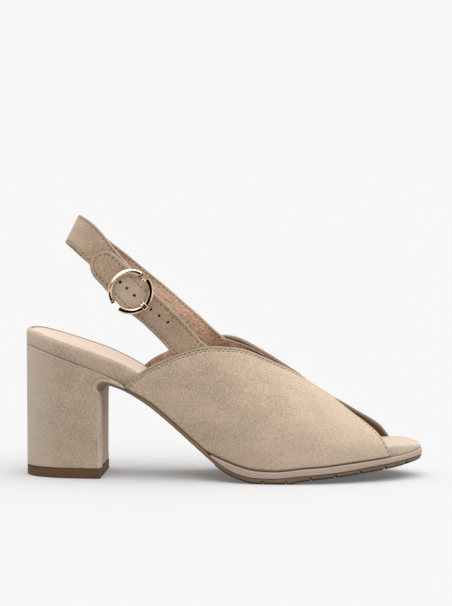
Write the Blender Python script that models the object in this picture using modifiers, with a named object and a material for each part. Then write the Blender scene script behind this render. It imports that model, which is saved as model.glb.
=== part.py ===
"""Heeled sandal for the right foot: open toe, open waist, strap round the ankle with a ring buckle.

The toe points along +X, the outer side of the foot faces -Y and the shoe stands on z = 0.
Tables and sizes are in millimetres, and every mesh is scaled to metres when it is made.
"""
import math

import bmesh
import bpy
import numpy as np
from mathutils import Vector

MILLIMETRE = 0.001
OBJECT_NAME = "heeled_sandal"

# Driving dimensions, in millimetres
HALF_LENGTH = 114.5
GAP = 0.3
LAYER_GAP = 0.45
UPPER_WALL = 1.8
UPPER_SEAT_GAP = 0.6
STRAP_THICKNESS = 2.0
STRAP_HALF_WIDTH = 8.6
SOCK_THICKNESS = 0.9
TOP_LIFT_HEIGHT = 5.8
HEEL_BASE_SCALE = 0.88
HEEL_EDGE_DROP = 1.0
HEEL_EDGE_INSET = 0.6
BREAST_X = -69.5
HEEL_LIP_END_X = -57.0
OUTSOLE_REAR_X = -66.0
PLATFORM_REAR_X = -5.5
SOCK_FRONT_X = 70.0
BED_DISH = 1.2
BED_STATIONS = (-66.0, -58.8, -53.0, SOCK_FRONT_X, 98.0, 103.5)

# Scoop between the heel's breast and the sole above it
SCOOP_RADIUS = 3.5
SCOOP_CENTRE_AHEAD = 2.45
SCOOP_TAPER = 5.6
SCOOP_ANGLES = (195.0, 90.0)
SCOOP_STEPS = 6
LIP_STATIONS = (-64.5, -61.0, HEEL_LIP_END_X)

# Plan outline of the sole: station, outer edge, inner edge
OUTLINE_ROWS = (
    (-114.5, 0.0, 0.0),
    (-111.0, -12.6, 12.6),
    (-104.0, -19.6, 19.6),
    (-95.0, -23.8, 23.6),
    (-85.0, -25.7, 25.3),
    (-70.0, -26.5, 26.0),
    (-55.0, -26.5, 24.5),
    (-35.0, -26.0, 21.5),
    (-15.0, -28.5, 22.0),
    (0.0, -33.0, 26.0),
    (15.0, -37.6, 32.0),
    (28.0, -39.5, 37.0),
    (42.0, -39.0, 39.5),
    (60.0, -36.3, 38.6),
    (80.0, -29.8, 34.0),
    (95.0, -22.0, 28.0),
    (105.0, -13.8, 21.5),
    (111.0, -6.0, 14.0),
    (114.5, 3.5, 3.5),
)

# Side profile of the sole: station, outsole underside, outsole top, platform top
SOLE_ROWS = (
    (-66.0, 54.0, 55.9, 55.9),
    (-57.0, 50.9, 53.4, 53.4),
    (-43.0, 42.7, 46.8, 46.8),
    (-30.0, 32.2, 36.4, 36.4),
    (-17.3, 21.2, 25.4, 25.4),
    (-7.5, 12.8, 17.3, 17.3),
    (-3.5, 9.6, 12.8, 15.1),
    (3.0, 5.3, 8.4, 12.6),
    (11.0, 2.0, 5.1, 9.9),
    (20.0, 0.0, 3.4, 8.0),
    (31.0, 0.0, 3.2, 7.5),
    (40.0, 0.0, 3.9, 8.2),
    (46.0, 1.2, 4.6, 9.0),
    (57.5, 2.5, 5.4, 9.8),
    (72.0, 4.0, 6.9, 11.4),
    (86.5, 5.9, 9.0, 13.2),
    (100.0, 7.6, 10.6, 15.0),
    (108.0, 9.0, 11.8, 16.6),
    (114.5, 10.3, 12.8, 18.0),
)

# Seat line between heel and footbed: station, height
SEAT_ROWS = (
    (-114.5, 74.6),
    (-107.8, 73.8),
    (-96.7, 70.9),
    (-83.8, 67.0),
    (-71.0, 62.2),
    (-58.8, 56.1),
    (-53.0, 52.0),
    (-43.0, 44.0),
)

# Footbed: station, top height, inset of its side from the sole outline
FOOTBED_ROWS = (
    (-114.5, 84.6, 0.0),
    (-107.8, 83.4, 0.0),
    (-100.0, 80.9, 0.0),
    (-83.8, 75.6, 0.0),
    (-71.0, 71.2, 0.0),
    (-58.8, 66.3, 2.1),
    (-53.0, 63.4, 2.6),
    (-43.0, 57.4, 2.7),
    (-30.0, 47.2, 2.9),
    (-17.3, 35.9, 3.1),
    (-7.5, 26.8, 3.3),
    (3.0, 20.6, 3.5),
    (11.0, 16.9, 3.6),
    (20.0, 14.4, 3.6),
    (31.0, 13.5, 3.6),
    (46.0, 14.9, 3.6),
    (72.0, 17.3, 3.7),
    (97.7, 20.3, 3.9),
    (103.5, 21.2, 1.0),
    (108.0, 21.9, 0.8),
    (114.5, 22.6, 0.8),
)

# Edges of the sole layers from the bottom up: inset, share of the layer's thickness, height added
OUTSOLE_EDGE = (
    (2.4, 0.0, 0.0),
    (0.7, 0.0, 0.9),
    (0.3, 0.5, 0.4),
    (0.4, 1.0, 0.0),
)
PLATFORM_EDGE = (
    (0.5, 0.0, 0.0),
    (0.0, 0.3, 0.0),
    (0.0, 0.8, 0.0),
    (0.5, 1.0, 0.0),
)
FOOTBED_EDGE = (
    (1.0, 0.0, 0.0),
    (0.0, 0.0, 1.2),
    (0.0, 1.0, -2.6),
    (0.8, 1.0, -0.9),
    (2.8, 1.0, 0.0),
)
SOCK_EDGE = (
    (3.0, 0.0, 0.0),
    (3.4, 1.0, 0.0),
)
TOP_LIFT_EDGE = (
    (0.5, 0.0),
    (0.0, 0.6),
    (0.0, TOP_LIFT_HEIGHT - GAP),
)

# Cross sections of the last: station, ridge offset, ridge height, fullness of the arch
LAST_ROWS = (
    (-60.0, 2.0, 118.0, 2.0),
    (-30.0, 2.0, 107.0, 2.0),
    (-10.0, 2.5, 96.0, 2.0),
    (7.0, 3.0, 85.6, 2.0),
    (20.0, 3.0, 75.6, 2.0),
    (32.0, 3.5, 66.4, 2.0),
    (44.0, 3.5, 58.0, 2.05),
    (55.0, 4.0, 50.5, 2.1),
    (66.0, 4.5, 43.6, 2.2),
    (85.0, 5.0, 33.0, 2.6),
    (100.0, 5.0, 27.0, 2.9),
)

# Inset of the upper from the sole outline: station, inset
UPPER_INSET_ROWS = (
    (-53.0, 0.0),
    (10.0, 1.0),
)

# Rear edge of the upper: angle round the section from the outer feather edge, station
REAR_EDGE_ROWS = (
    (0.0, -55.8),
    (8.5, -49.4),
    (24.0, -34.8),
    (39.5, -19.0),
    (49.5, -8.0),
    (56.5, 2.6),
    (65.8, 14.6),
    (74.0, 26.8),
    (80.5, 34.5),
    (90.0, 44.5),
    (98.5, 35.5),
    (106.0, 23.3),
    (112.3, 11.0),
    (119.5, 0.2),
    (132.7, -13.3),
    (153.8, -32.4),
    (170.4, -47.5),
    (180.0, -55.5),
)

# Front edge of the upper: angle round the section, station
FRONT_EDGE_ROWS = (
    (0.0, 97.7),
    (8.0, 96.3),
    (30.0, 93.2),
    (51.0, 88.5),
    (67.0, 81.8),
    (77.0, 73.7),
    (90.0, 65.4),
    (103.0, 72.6),
    (113.0, 81.3),
    (130.0, 87.1),
    (147.0, 91.2),
    (161.0, 94.7),
    (180.0, 97.4),
)

# Route of the ankle strap from the outer root round the back to the inner root:
# centre x, y, z, lean of the width above +X in degrees, cant of the upper edge towards +Y in degrees
ROUTE_ROWS = (
    (-9.0, -18.4, 66.1, 46.0, 14.0),
    (-19.3, -16.5, 74.6, 46.0, 14.0),
    (-26.0, -18.3, 82.4, 45.0, 11.0),
    (-32.1, -20.9, 89.2, 45.0, 7.0),
    (-40.4, -23.4, 97.6, 45.0, 4.0),
    (-51.1, -25.6, 108.2, 44.0, 3.0),
    (-60.4, -24.8, 118.9, 44.0, 3.0),
    (-69.0, -22.2, 128.7, 47.0, 4.0),
    (-75.1, -18.2, 135.0, 51.0, 4.0),
    (-81.4, -11.6, 139.5, 58.0, 2.0),
    (-86.7, 0.0, 142.2, 63.0, 0.0),
    (-82.4, 11.4, 139.0, 59.0, -2.0),
    (-76.8, 18.0, 132.4, 51.0, -4.0),
    (-66.8, 23.0, 121.5, 47.0, -4.0),
    (-48.6, 25.0, 106.9, 46.0, -3.0),
    (-36.5, 22.6, 96.2, 46.0, -5.0),
    (-27.6, 18.2, 88.4, 46.0, -9.0),
    (-20.0, 13.3, 81.2, 46.0, -13.0),
    (-13.2, 11.4, 74.4, 46.0, -14.0),
    (-5.0, 13.4, 66.3, 46.0, -13.0),
)
BUCKLE_ROW = 5

# Buckle strap: distance along the route from the buckle, lift off the route, sideways shift
BUCKLE_STRAP_ROWS = (
    (-59.0, 0.0, 0.0),
    (-34.0, 0.0, 0.0),
    (-22.0, 0.8, 0.0),
    (-13.0, 1.9, 0.0),
    (-7.0, 2.35, 0.0),
    (0.0, 2.35, 0.0),
    (9.0, 2.35, -0.4),
    (17.0, 2.35, -1.2),
    (28.5, 2.35, -2.6),
)
TIP_ROUNDING = 9.5
TIP_ANGLE = 86.0
TIP_STEPS = 7

# Turned end of the heel strap: distance along the route, lift off the route
FOLD_ROWS = (
    (16.0, -2.35),
    (11.5, -2.4),
    (8.0, -3.1),
    (4.0, -4.5),
)
FOLD_ARC_STEPS = 8

# Buckle, in its own axes: along the strap, across it, lift off the route
RING_RADIUS = 11.65
RING_LIFT = 5.05
RING_WIRE_RADIUS = 1.4
ARC_GAP_HALF = 3.6
FRONT_ARC_END_RADIUS = 0.9
BAR_LIFT = -2.4
BAR_RADIUS = 1.0
BAR_END = 11.3
FOLD_RADIUS = 2.4
HOLES_EACH_WAY = 3
HOLE_PITCH = 6.1
HOLE_SIDES = 10
HOLE_CUT_SPAN = (-6.0, 8.0)
HOLE_OF_PRONG = -8.9
HOLE_RADIUS = 1.1
PRONG_HOLE_RADIUS = 1.55
PRONG_RADIUS = 0.65
PRONG_SLOT_HALF_WIDTH = 1.1
PRONG_SLOT_SPAN = (-4.2, 3.4)
PRONG_SLOT_LIFTS = (-8.0, 1.8)
PRONG_EYE_RADIUS = 2.1
PRONG_EYE_HALF_ANGLE = 100.0
PRONG_EYE_STEPS = 8

# Legs from the ring's ends to the bar: share of the half gap, drop below the ring
LEG_ROWS = (
    (1.0, 1.6),
    (0.85, 3.2),
    (0.45, 5.6),
)

# Shank of the prong: distance along the strap, lift off the route, wire radius
PRONG_ROWS = (
    (-2.4, -0.35, 0.65),
    (-7.0, -0.4, 0.65),
    (-8.3, 0.35, 0.65),
    (-8.8, 2.2, 0.65),
    (-9.0, 4.4, 0.65),
    (-9.5, 6.4, 0.65),
    (-11.2, 7.75, 0.95),
    (-12.6, 7.75, 0.95),
    (-13.8, 7.3, 0.75),
)

# Tread: stations of the cross grooves, and where the tread steps down from the waist
GROOVE_STATIONS = (24.5, 38.0, 52.0, 66.0, 80.0, 94.0, 106.0)
GROOVE_HALF_WIDTH = 0.8
GROOVE_FLANK = 0.25
GROOVE_DEPTH = 0.9
TREAD_START_X = -3.4
TREAD_STEP = 0.6

# Mesh density
SOLE_STATIONS = 42
UPPER_ROUND_STEPS = 40
UPPER_LENGTH_STEPS = 20
STRAP_STEP = 4.5
STRAP_COLUMNS = 5
RING_STEPS = 22
STATION_CLEARANCE = 0.3
WELD_DISTANCE = 2e-6
SMOOTH_ANGLE = 40.0
CUTTER_MARGIN = 10.0
CUTTER_HALF_WIDTH = 60.0

# Colours, roughness and metallic value of each piece
MATERIALS = {
    "outsole": ((0.27, 0.18, 0.11), 0.60, 0.0),
    "platform": ((0.58, 0.44, 0.36), 0.55, 0.0),
    "footbed": ((0.46, 0.34, 0.25), 0.90, 0.0),
    "sock": ((0.77, 0.61, 0.49), 0.60, 0.0),
    "heel": ((0.43, 0.32, 0.23), 0.90, 0.0),
    "top_lift": ((0.11, 0.06, 0.03), 0.55, 0.0),
    "upper": ((0.50, 0.38, 0.27), 0.90, 0.0),
    "heel_strap": ((0.47, 0.35, 0.25), 0.90, 0.0),
    "buckle_strap": ((0.45, 0.33, 0.23), 0.90, 0.0),
    "buckle_frame": ((0.90, 0.72, 0.55), 0.12, 1.0),
    "buckle_prong": ((0.90, 0.72, 0.55), 0.12, 1.0),
}


def column(rows, index):
    """One column of a table as an array."""
    return np.array([row[index] for row in rows], dtype=float)


def smooth_curve(knots, values):
    """Cubic through the knots that never overshoots them, level beyond both ends."""
    knots = np.asarray(knots, dtype=float)
    values = np.asarray(values, dtype=float)
    width = np.diff(knots)
    slope = np.diff(values) / width
    tangent = np.zeros(len(knots))
    tangent[0] = slope[0]
    tangent[-1] = slope[-1]
    for i in range(1, len(knots) - 1):
        if slope[i - 1] * slope[i] > 0.0:
            before = 2.0 * width[i] + width[i - 1]
            after = width[i] + 2.0 * width[i - 1]
            tangent[i] = (before + after) / (before / slope[i - 1] + after / slope[i])

    def evaluate(position):
        position = min(max(float(position), knots[0]), knots[-1])
        i = int(np.clip(np.searchsorted(knots, position) - 1, 0, len(width) - 1))
        t = (position - knots[i]) / width[i]
        start = values[i] * (1.0 + 2.0 * t) * (1.0 - t) ** 2 + tangent[i] * width[i] * t * (1.0 - t) ** 2
        end = values[i + 1] * t * t * (3.0 - 2.0 * t) + tangent[i + 1] * width[i] * t * t * (t - 1.0)
        return start + end

    return evaluate


def spline(knots, values):
    """Natural cubic spline through the knots."""
    knots = np.asarray(knots, dtype=float)
    values = np.asarray(values, dtype=float)
    width = np.diff(knots)
    count = len(knots)
    matrix = np.eye(count)
    right = np.zeros(count)
    for i in range(1, count - 1):
        matrix[i, i - 1:i + 2] = (width[i - 1], 2.0 * (width[i - 1] + width[i]), width[i])
        jump = (values[i + 1] - values[i]) / width[i] - (values[i] - values[i - 1]) / width[i - 1]
        right[i] = 6.0 * jump
    bend = np.linalg.solve(matrix, right)

    def evaluate(position):
        i = int(np.clip(np.searchsorted(knots, position) - 1, 0, count - 2))
        a = knots[i + 1] - position
        b = position - knots[i]
        h = width[i]
        cubic = (bend[i] * a ** 3 + bend[i + 1] * b ** 3) / (6.0 * h)
        before = (values[i] / h - bend[i] * h / 6.0) * a
        after = (values[i + 1] / h - bend[i + 1] * h / 6.0) * b
        return cubic + before + after

    return evaluate


# Sole curves
def turn_of(x):
    """Angle that walks the outline from the heel's back, 0, to the toe, pi."""
    return math.acos(min(max(-x / HALF_LENGTH, -1.0), 1.0))


OUTLINE_TURNS = [turn_of(row[0]) for row in OUTLINE_ROWS]
OUTER_EDGE = smooth_curve(OUTLINE_TURNS, column(OUTLINE_ROWS, 1))
INNER_EDGE = smooth_curve(OUTLINE_TURNS, column(OUTLINE_ROWS, 2))
GROUND = smooth_curve(column(SOLE_ROWS, 0), column(SOLE_ROWS, 1))
WELT = smooth_curve(column(SOLE_ROWS, 0), column(SOLE_ROWS, 2))
FEATHER = smooth_curve(column(SOLE_ROWS, 0), column(SOLE_ROWS, 3))
SEAT = smooth_curve(column(SEAT_ROWS, 0), column(SEAT_ROWS, 1))
BED_TOP = smooth_curve(column(FOOTBED_ROWS, 0), column(FOOTBED_ROWS, 1))
BED_INSET = smooth_curve(column(FOOTBED_ROWS, 0), column(FOOTBED_ROWS, 2))


def outline_point(turn, side, inset=0.0):
    """Point of the sole outline on side -1, outer, or 1, inner, moved inwards by inset."""
    edge = OUTER_EDGE if side < 0 else INNER_EDGE
    step = 1e-4
    low = max(turn - step, 0.0)
    high = min(turn + step, math.pi)
    run = HALF_LENGTH * math.sin(turn) * (high - low)
    rise = edge(high) - edge(low)
    length = math.hypot(run, rise)
    x = -HALF_LENGTH * math.cos(turn) + side * inset * rise / length
    y = edge(turn) - side * inset * run / length
    return x, y


def turns_between(x_start, x_end, count, extra=()):
    """Angles from one station to another, close together at round ends, with extra stations."""
    first = turn_of(x_start)
    last = turn_of(x_end)
    turns = [first + (last - first) * i / count for i in range(count + 1)]
    added = [turn_of(x) for x in extra]
    spacing = STATION_CLEARANCE * (last - first) / count
    kept = [turn for turn in turns if all(abs(turn - other) > spacing for other in added)]
    return sorted(set(kept + added + [first, last]))


# Mesh helpers
def make_material(name):
    colour, roughness, metallic = MATERIALS[name]
    material = bpy.data.materials.new(name)
    material.use_nodes = True
    shader = material.node_tree.nodes["Principled BSDF"]
    shader.inputs["Base Color"].default_value = (*colour, 1.0)
    shader.inputs["Roughness"].default_value = roughness
    shader.inputs["Metallic"].default_value = metallic
    return material


def add_object(name, mesh, collection):
    """Object in the given collection, with the material of its own name when it has one."""
    item = bpy.data.objects.new(name, mesh)
    collection.objects.link(item)
    if name in MATERIALS:
        mesh.materials.clear()
        mesh.materials.append(make_material(name))
        mesh.shade_smooth()
        mesh.set_sharp_from_angle(angle=math.radians(SMOOTH_ANGLE))
    else:
        item.hide_render = True
        item.display_type = "WIRE"
    return item


def finish_mesh(work, mesh, closed=True):
    """Weld a bmesh, turn the faces of a closed one outwards and write it to a mesh."""
    bmesh.ops.remove_doubles(work, verts=work.verts, dist=WELD_DISTANCE)
    if closed and work.calc_volume(signed=True) < 0.0:
        bmesh.ops.reverse_faces(work, faces=work.faces)
    work.to_mesh(mesh)
    work.free()
    return mesh


def loft_mesh(name, sections, cap_start, cap_end, closed=True):
    """Skin over a list of sections, each a list of points in millimetres."""
    work = bmesh.new()
    rings = [[work.verts.new(Vector(point) * MILLIMETRE) for point in section] for section in sections]
    count = len(sections[0])
    spans = count if closed else count - 1
    for ring, following in zip(rings, rings[1:]):
        for j in range(spans):
            k = (j + 1) % count
            work.faces.new((ring[j], ring[k], following[k], following[j]))
    if cap_start:
        work.faces.new(list(reversed(rings[0])))
    if cap_end:
        work.faces.new(rings[-1])
    return finish_mesh(work, bpy.data.meshes.new(name), closed)


def add_solidify(item, thickness, offset):
    shell = item.modifiers.new("wall", "SOLIDIFY")
    shell.thickness = thickness * MILLIMETRE
    shell.offset = offset
    shell.use_even_offset = True
    shell.use_quality_normals = True


def add_boolean(item, cutter, operation):
    cut = item.modifiers.new(operation.lower(), "BOOLEAN")
    cut.operation = operation
    cut.object = cutter


def mirrored_section(half):
    """Closed loop from an outer half, listed from the bottom up, and the matching inner half."""
    return [point[0] for point in half] + [point[1] for point in reversed(half)]


def pair(turn, inset, height):
    """Outer and inner outline points at one inset, at the height given for their stations."""
    points = []
    for side in (-1, 1):
        x, y = outline_point(turn, side, inset)
        points.append((x, y, height(x)))
    return points


def layer_half(turn, edge_rows, under, top, inset=0.0):
    """Outer and inner points of one section of a sole layer, from the bottom up."""
    half = []
    for edge_inset, share, added in edge_rows:
        half.append(pair(turn, inset + edge_inset, lambda x: under(x) + share * (top(x) - under(x)) + added))
    return half


def dished_section(turn, half, bottom_too=False):
    """Closed loop of a layer whose top, and bottom if asked, hollows along the middle."""
    middles = []
    for low, high in (half[-1], half[0]):
        middle = 0.5 * (np.array(low) + np.array(high))
        middle[2] -= BED_DISH * math.sin(turn) ** 2
        middles.append(tuple(middle))
    section = [point[0] for point in half] + middles[:1] + [point[1] for point in reversed(half)]
    return section + middles[1:] if bottom_too else section


# Sole pieces
def tread_lift(x):
    """How far the underside is raised by a groove, or by the thin waist."""
    for station in GROOVE_STATIONS:
        if abs(x - station) < GROOVE_HALF_WIDTH - 0.5 * GROOVE_FLANK:
            return GROOVE_DEPTH
    return TREAD_STEP if x < TREAD_START_X else 0.0


def groove_edges():
    """Stations on both flanks of each groove and of the step at the waist."""
    edges = []
    for station in GROOVE_STATIONS:
        for side in (-1, 1):
            edges.append(station + side * GROOVE_HALF_WIDTH)
            edges.append(station + side * (GROOVE_HALF_WIDTH - GROOVE_FLANK))
    edges.append(TREAD_START_X - GROOVE_FLANK)
    edges.append(TREAD_START_X + GROOVE_FLANK)
    return edges


def build_outsole(parts):
    sections = []
    for turn in turns_between(OUTSOLE_REAR_X, HALF_LENGTH, SOLE_STATIONS, groove_edges()):
        lift = tread_lift(-HALF_LENGTH * math.cos(turn))
        half = layer_half(turn, OUTSOLE_EDGE, lambda x: GROUND(x) + lift, WELT)
        sections.append(mirrored_section(half))
    mesh = loft_mesh("outsole", sections, cap_start=True, cap_end=False)
    add_object("outsole", mesh, parts)


def build_platform(parts):
    sections = []
    for turn in turns_between(PLATFORM_REAR_X, HALF_LENGTH, SOLE_STATIONS):
        half = layer_half(turn, PLATFORM_EDGE, lambda x: WELT(x) + LAYER_GAP, FEATHER)
        sections.append(mirrored_section(half))
    mesh = loft_mesh("platform", sections, cap_start=True, cap_end=False)
    add_object("platform", mesh, parts)


def bed_under(x):
    """Underside of the footbed: on the heel at the seat, on the platform or outsole in front."""
    seated = FEATHER(x) + LAYER_GAP
    return max(SEAT(x), seated) if x < SEAT_ROWS[-1][0] else seated


def bed_turns(x_end):
    """Stations that the footbed and the sock on it share, up to x_end."""
    turns = turns_between(-HALF_LENGTH, HALF_LENGTH, SOLE_STATIONS, BED_STATIONS)
    return [turn for turn in turns if turn <= turn_of(x_end)]


def build_footbed(parts):
    sections = []
    for turn in bed_turns(HALF_LENGTH):
        inset = BED_INSET(-HALF_LENGTH * math.cos(turn))
        half = layer_half(turn, FOOTBED_EDGE, bed_under, BED_TOP, inset)
        sections.append(dished_section(turn, half))
    mesh = loft_mesh("footbed", sections, cap_start=False, cap_end=False)
    add_object("footbed", mesh, parts)


def sock_under(x):
    return BED_TOP(x) + GAP


def build_sock(parts):
    sections = []
    for turn in bed_turns(SOCK_FRONT_X):
        inset = BED_INSET(-HALF_LENGTH * math.cos(turn))
        half = layer_half(turn, SOCK_EDGE, sock_under, lambda x: sock_under(x) + SOCK_THICKNESS, inset)
        sections.append(dished_section(turn, half, bottom_too=True))
    mesh = loft_mesh("sock", sections, cap_start=False, cap_end=True)
    add_object("sock", mesh, parts)


def base_pair(turn, inset, z):
    """Outer and inner points of the heel's narrower base outline."""
    points = []
    for side in (-1, 1):
        x, y = outline_point(turn, side, inset)
        points.append((x, HEEL_BASE_SCALE * y, z))
    return points


def build_top_lift(parts):
    sections = []
    for turn in turns_between(-HALF_LENGTH, BREAST_X, SOLE_STATIONS // 2):
        half = [base_pair(turn, inset, z) for inset, z in TOP_LIFT_EDGE]
        sections.append(mirrored_section(half))
    mesh = loft_mesh("top_lift", sections, cap_start=False, cap_end=True)
    add_object("top_lift", mesh, parts)


def breast_profile():
    """Outline, in x and z, of what is cut from the heel block in front of its breast."""
    below = -CUTTER_MARGIN
    ahead = HEEL_LIP_END_X + CUTTER_MARGIN
    scoop_x = BREAST_X + SCOOP_CENTRE_AHEAD
    scoop_z = WELT(OUTSOLE_REAR_X) + LAYER_GAP - SCOOP_RADIUS
    points = [(BREAST_X, below), (BREAST_X, scoop_z - SCOOP_TAPER)]
    for degrees in np.linspace(*SCOOP_ANGLES, SCOOP_STEPS + 1):
        angle = math.radians(degrees)
        points.append((scoop_x + SCOOP_RADIUS * math.cos(angle), scoop_z + SCOOP_RADIUS * math.sin(angle)))
    for x in (*LIP_STATIONS, ahead):
        points.append((x, WELT(x) + LAYER_GAP))
    points.append((ahead, below))
    return points


def build_heel(parts, cutters):
    sections = []
    for turn in turns_between(-HALF_LENGTH, HEEL_LIP_END_X, SOLE_STATIONS // 2):
        half = [
            base_pair(turn, 0.0, TOP_LIFT_HEIGHT),
            pair(turn, 0.0, lambda x: SEAT(x) - GAP - HEEL_EDGE_DROP),
            pair(turn, HEEL_EDGE_INSET, lambda x: SEAT(x) - GAP),
        ]
        sections.append(mirrored_section(half))
    mesh = loft_mesh("heel", sections, cap_start=False, cap_end=True)
    heel = add_object("heel", mesh, parts)
    outline = breast_profile()
    sides = [[(x, y, z) for x, z in outline] for y in (-CUTTER_HALF_WIDTH, CUTTER_HALF_WIDTH)]
    cutter = add_object("breast_cutter", loft_mesh("breast_cutter", sides, True, True), cutters)
    add_boolean(heel, cutter, "DIFFERENCE")


# Upper
RIDGE_Y = smooth_curve(column(LAST_ROWS, 0), column(LAST_ROWS, 1))
RIDGE_Z = smooth_curve(column(LAST_ROWS, 0), column(LAST_ROWS, 2))
FULLNESS = smooth_curve(column(LAST_ROWS, 0), column(LAST_ROWS, 3))
REAR_EDGE = smooth_curve(column(REAR_EDGE_ROWS, 0), column(REAR_EDGE_ROWS, 1))
FRONT_EDGE = smooth_curve(column(FRONT_EDGE_ROWS, 0), column(FRONT_EDGE_ROWS, 1))
UPPER_INSET = smooth_curve(column(UPPER_INSET_ROWS, 0), column(UPPER_INSET_ROWS, 1))


def last_point(x, angle):
    """Outside of the upper at a station and an angle round its section, 90 degrees at the ridge."""
    power = 2.0 / FULLNESS(x)
    across = abs(math.cos(math.radians(angle))) ** power
    up = math.sin(math.radians(angle)) ** power
    side = -1 if angle <= 90.0 else 1
    edge = (OUTER_EDGE if side < 0 else INNER_EDGE)(turn_of(x)) - side * UPPER_INSET(x)
    floor = FEATHER(x) + UPPER_SEAT_GAP
    y = RIDGE_Y(x) + (edge - RIDGE_Y(x)) * across
    return x, y, floor + (RIDGE_Z(x) - floor) * up


def build_upper(parts):
    rows = []
    for i in range(UPPER_ROUND_STEPS + 1):
        angle = 180.0 * i / UPPER_ROUND_STEPS
        rear = REAR_EDGE(angle)
        front = FRONT_EDGE(angle)
        row = []
        for j in range(UPPER_LENGTH_STEPS + 1):
            row.append(last_point(rear + (front - rear) * j / UPPER_LENGTH_STEPS, angle))
        rows.append(row)
    mesh = loft_mesh("upper", rows, False, False, closed=False)
    upper = add_object("upper", mesh, parts)
    add_solidify(upper, UPPER_WALL, -1.0)


# Straps
def make_route():
    """Strap route as a function of the distance from the buckle, positive towards the back."""
    points = np.array([row[:3] for row in ROUTE_ROWS])
    distance = np.concatenate(([0.0], np.cumsum(np.linalg.norm(np.diff(points, axis=0), axis=1))))
    distance -= distance[BUCKLE_ROW]
    curves = [spline(distance, column(ROUTE_ROWS, i)) for i in range(3)]
    lean = smooth_curve(distance, column(ROUTE_ROWS, 3))
    cant = smooth_curve(distance, column(ROUTE_ROWS, 4))

    def frame(along):
        """Centre, direction along, direction across and direction outwards."""
        centre = np.array([curve(along) for curve in curves])
        step = 0.1
        ahead = np.array([curve(along + step) for curve in curves])
        behind = np.array([curve(along - step) for curve in curves])
        forward = (ahead - behind) / np.linalg.norm(ahead - behind)
        lean_angle = math.radians(lean(along))
        cant_angle = math.radians(cant(along))
        flat = math.cos(cant_angle)
        across = np.array((flat * math.cos(lean_angle), math.sin(cant_angle), flat * math.sin(lean_angle)))
        across -= forward * float(across @ forward)
        across /= np.linalg.norm(across)
        return centre, forward, across, np.cross(across, forward)

    return frame, distance[0], distance[-1]


ROUTE_FRAME, ROUTE_START, ROUTE_END = make_route()


def strap_row(along, lift, shift, half_width):
    """Points across the middle of a strap."""
    centre, _, across, outward = ROUTE_FRAME(along)
    middle = centre + lift * outward + shift * across
    offsets = np.linspace(-half_width, half_width, STRAP_COLUMNS)
    return [tuple(middle + offset * across) for offset in offsets]


def steps_between(start, end, spacing):
    count = max(int(round(abs(end - start) / spacing)), 1)
    return np.linspace(start, end, count + 1)


def buckle_point(along, across, lift):
    """Point in the buckle's own axes."""
    centre, forward, side, outward = ROUTE_FRAME(0.0)
    return centre + along * forward + across * side + lift * outward


def round_cutter(name, along, radius, collection):
    """Pin that cuts one hole through the buckle strap."""
    centre, _, across, outward = ROUTE_FRAME(along)
    forward = np.cross(outward, across)
    sides = []
    for lift in HOLE_CUT_SPAN:
        ring = []
        for i in range(HOLE_SIDES):
            angle = 2.0 * math.pi * i / HOLE_SIDES
            offset = radius * (math.cos(angle) * across + math.sin(angle) * forward)
            ring.append(tuple(centre + lift * outward + offset))
        sides.append(ring)
    return add_object(name, loft_mesh(name, sides, True, True), collection)


def build_buckle_strap(parts, cutters):
    lift = smooth_curve(column(BUCKLE_STRAP_ROWS, 0), column(BUCKLE_STRAP_ROWS, 1))
    shift = smooth_curve(column(BUCKLE_STRAP_ROWS, 0), column(BUCKLE_STRAP_ROWS, 2))
    tip = BUCKLE_STRAP_ROWS[-1][0]
    rows = []
    for along in steps_between(ROUTE_START, tip - TIP_ROUNDING, STRAP_STEP):
        rows.append(strap_row(along, lift(along), shift(along), STRAP_HALF_WIDTH))
    for step in range(1, TIP_STEPS + 1):
        angle = math.radians(TIP_ANGLE) * step / TIP_STEPS
        along = tip - TIP_ROUNDING + TIP_ROUNDING * math.sin(angle)
        rows.append(strap_row(along, lift(along), shift(along), STRAP_HALF_WIDTH * math.cos(angle)))
    strap = add_object("buckle_strap", loft_mesh("buckle_strap", rows, False, False, closed=False), parts)
    add_solidify(strap, STRAP_THICKNESS, 0.0)
    for index in range(-HOLES_EACH_WAY, HOLES_EACH_WAY + 1):
        along = HOLE_OF_PRONG + index * HOLE_PITCH
        radius = PRONG_HOLE_RADIUS if index == 0 else HOLE_RADIUS
        cutter = round_cutter(f"hole_cutter_{index + HOLES_EACH_WAY + 1}", along, radius, cutters)
        add_boolean(strap, cutter, "DIFFERENCE")


def build_heel_strap(parts, cutters):
    path = list(FOLD_ROWS)
    for step in range(FOLD_ARC_STEPS + 1):
        angle = math.radians(-90.0 - 180.0 * step / FOLD_ARC_STEPS)
        path.append((FOLD_RADIUS * math.cos(angle), BAR_LIFT + FOLD_RADIUS * math.sin(angle)))
    for along in steps_between(0.0, ROUTE_END, STRAP_STEP)[1:]:
        path.append((along, 0.0))
    rows = [strap_row(along, lift, 0.0, STRAP_HALF_WIDTH) for along, lift in path]
    strap = add_object("heel_strap", loft_mesh("heel_strap", rows, False, False, closed=False), parts)
    add_solidify(strap, STRAP_THICKNESS, 0.0)
    start, end = PRONG_SLOT_SPAN
    low, high = PRONG_SLOT_LIFTS
    corners = [(start, low), (end, low), (end, high), (start, high)]
    sides = []
    for across in (-PRONG_SLOT_HALF_WIDTH, PRONG_SLOT_HALF_WIDTH):
        sides.append([tuple(buckle_point(along, across, lift)) for along, lift in corners])
    cutter = add_object("slot_cutter", loft_mesh("slot_cutter", sides, True, True), cutters)
    add_boolean(strap, cutter, "DIFFERENCE")


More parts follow.
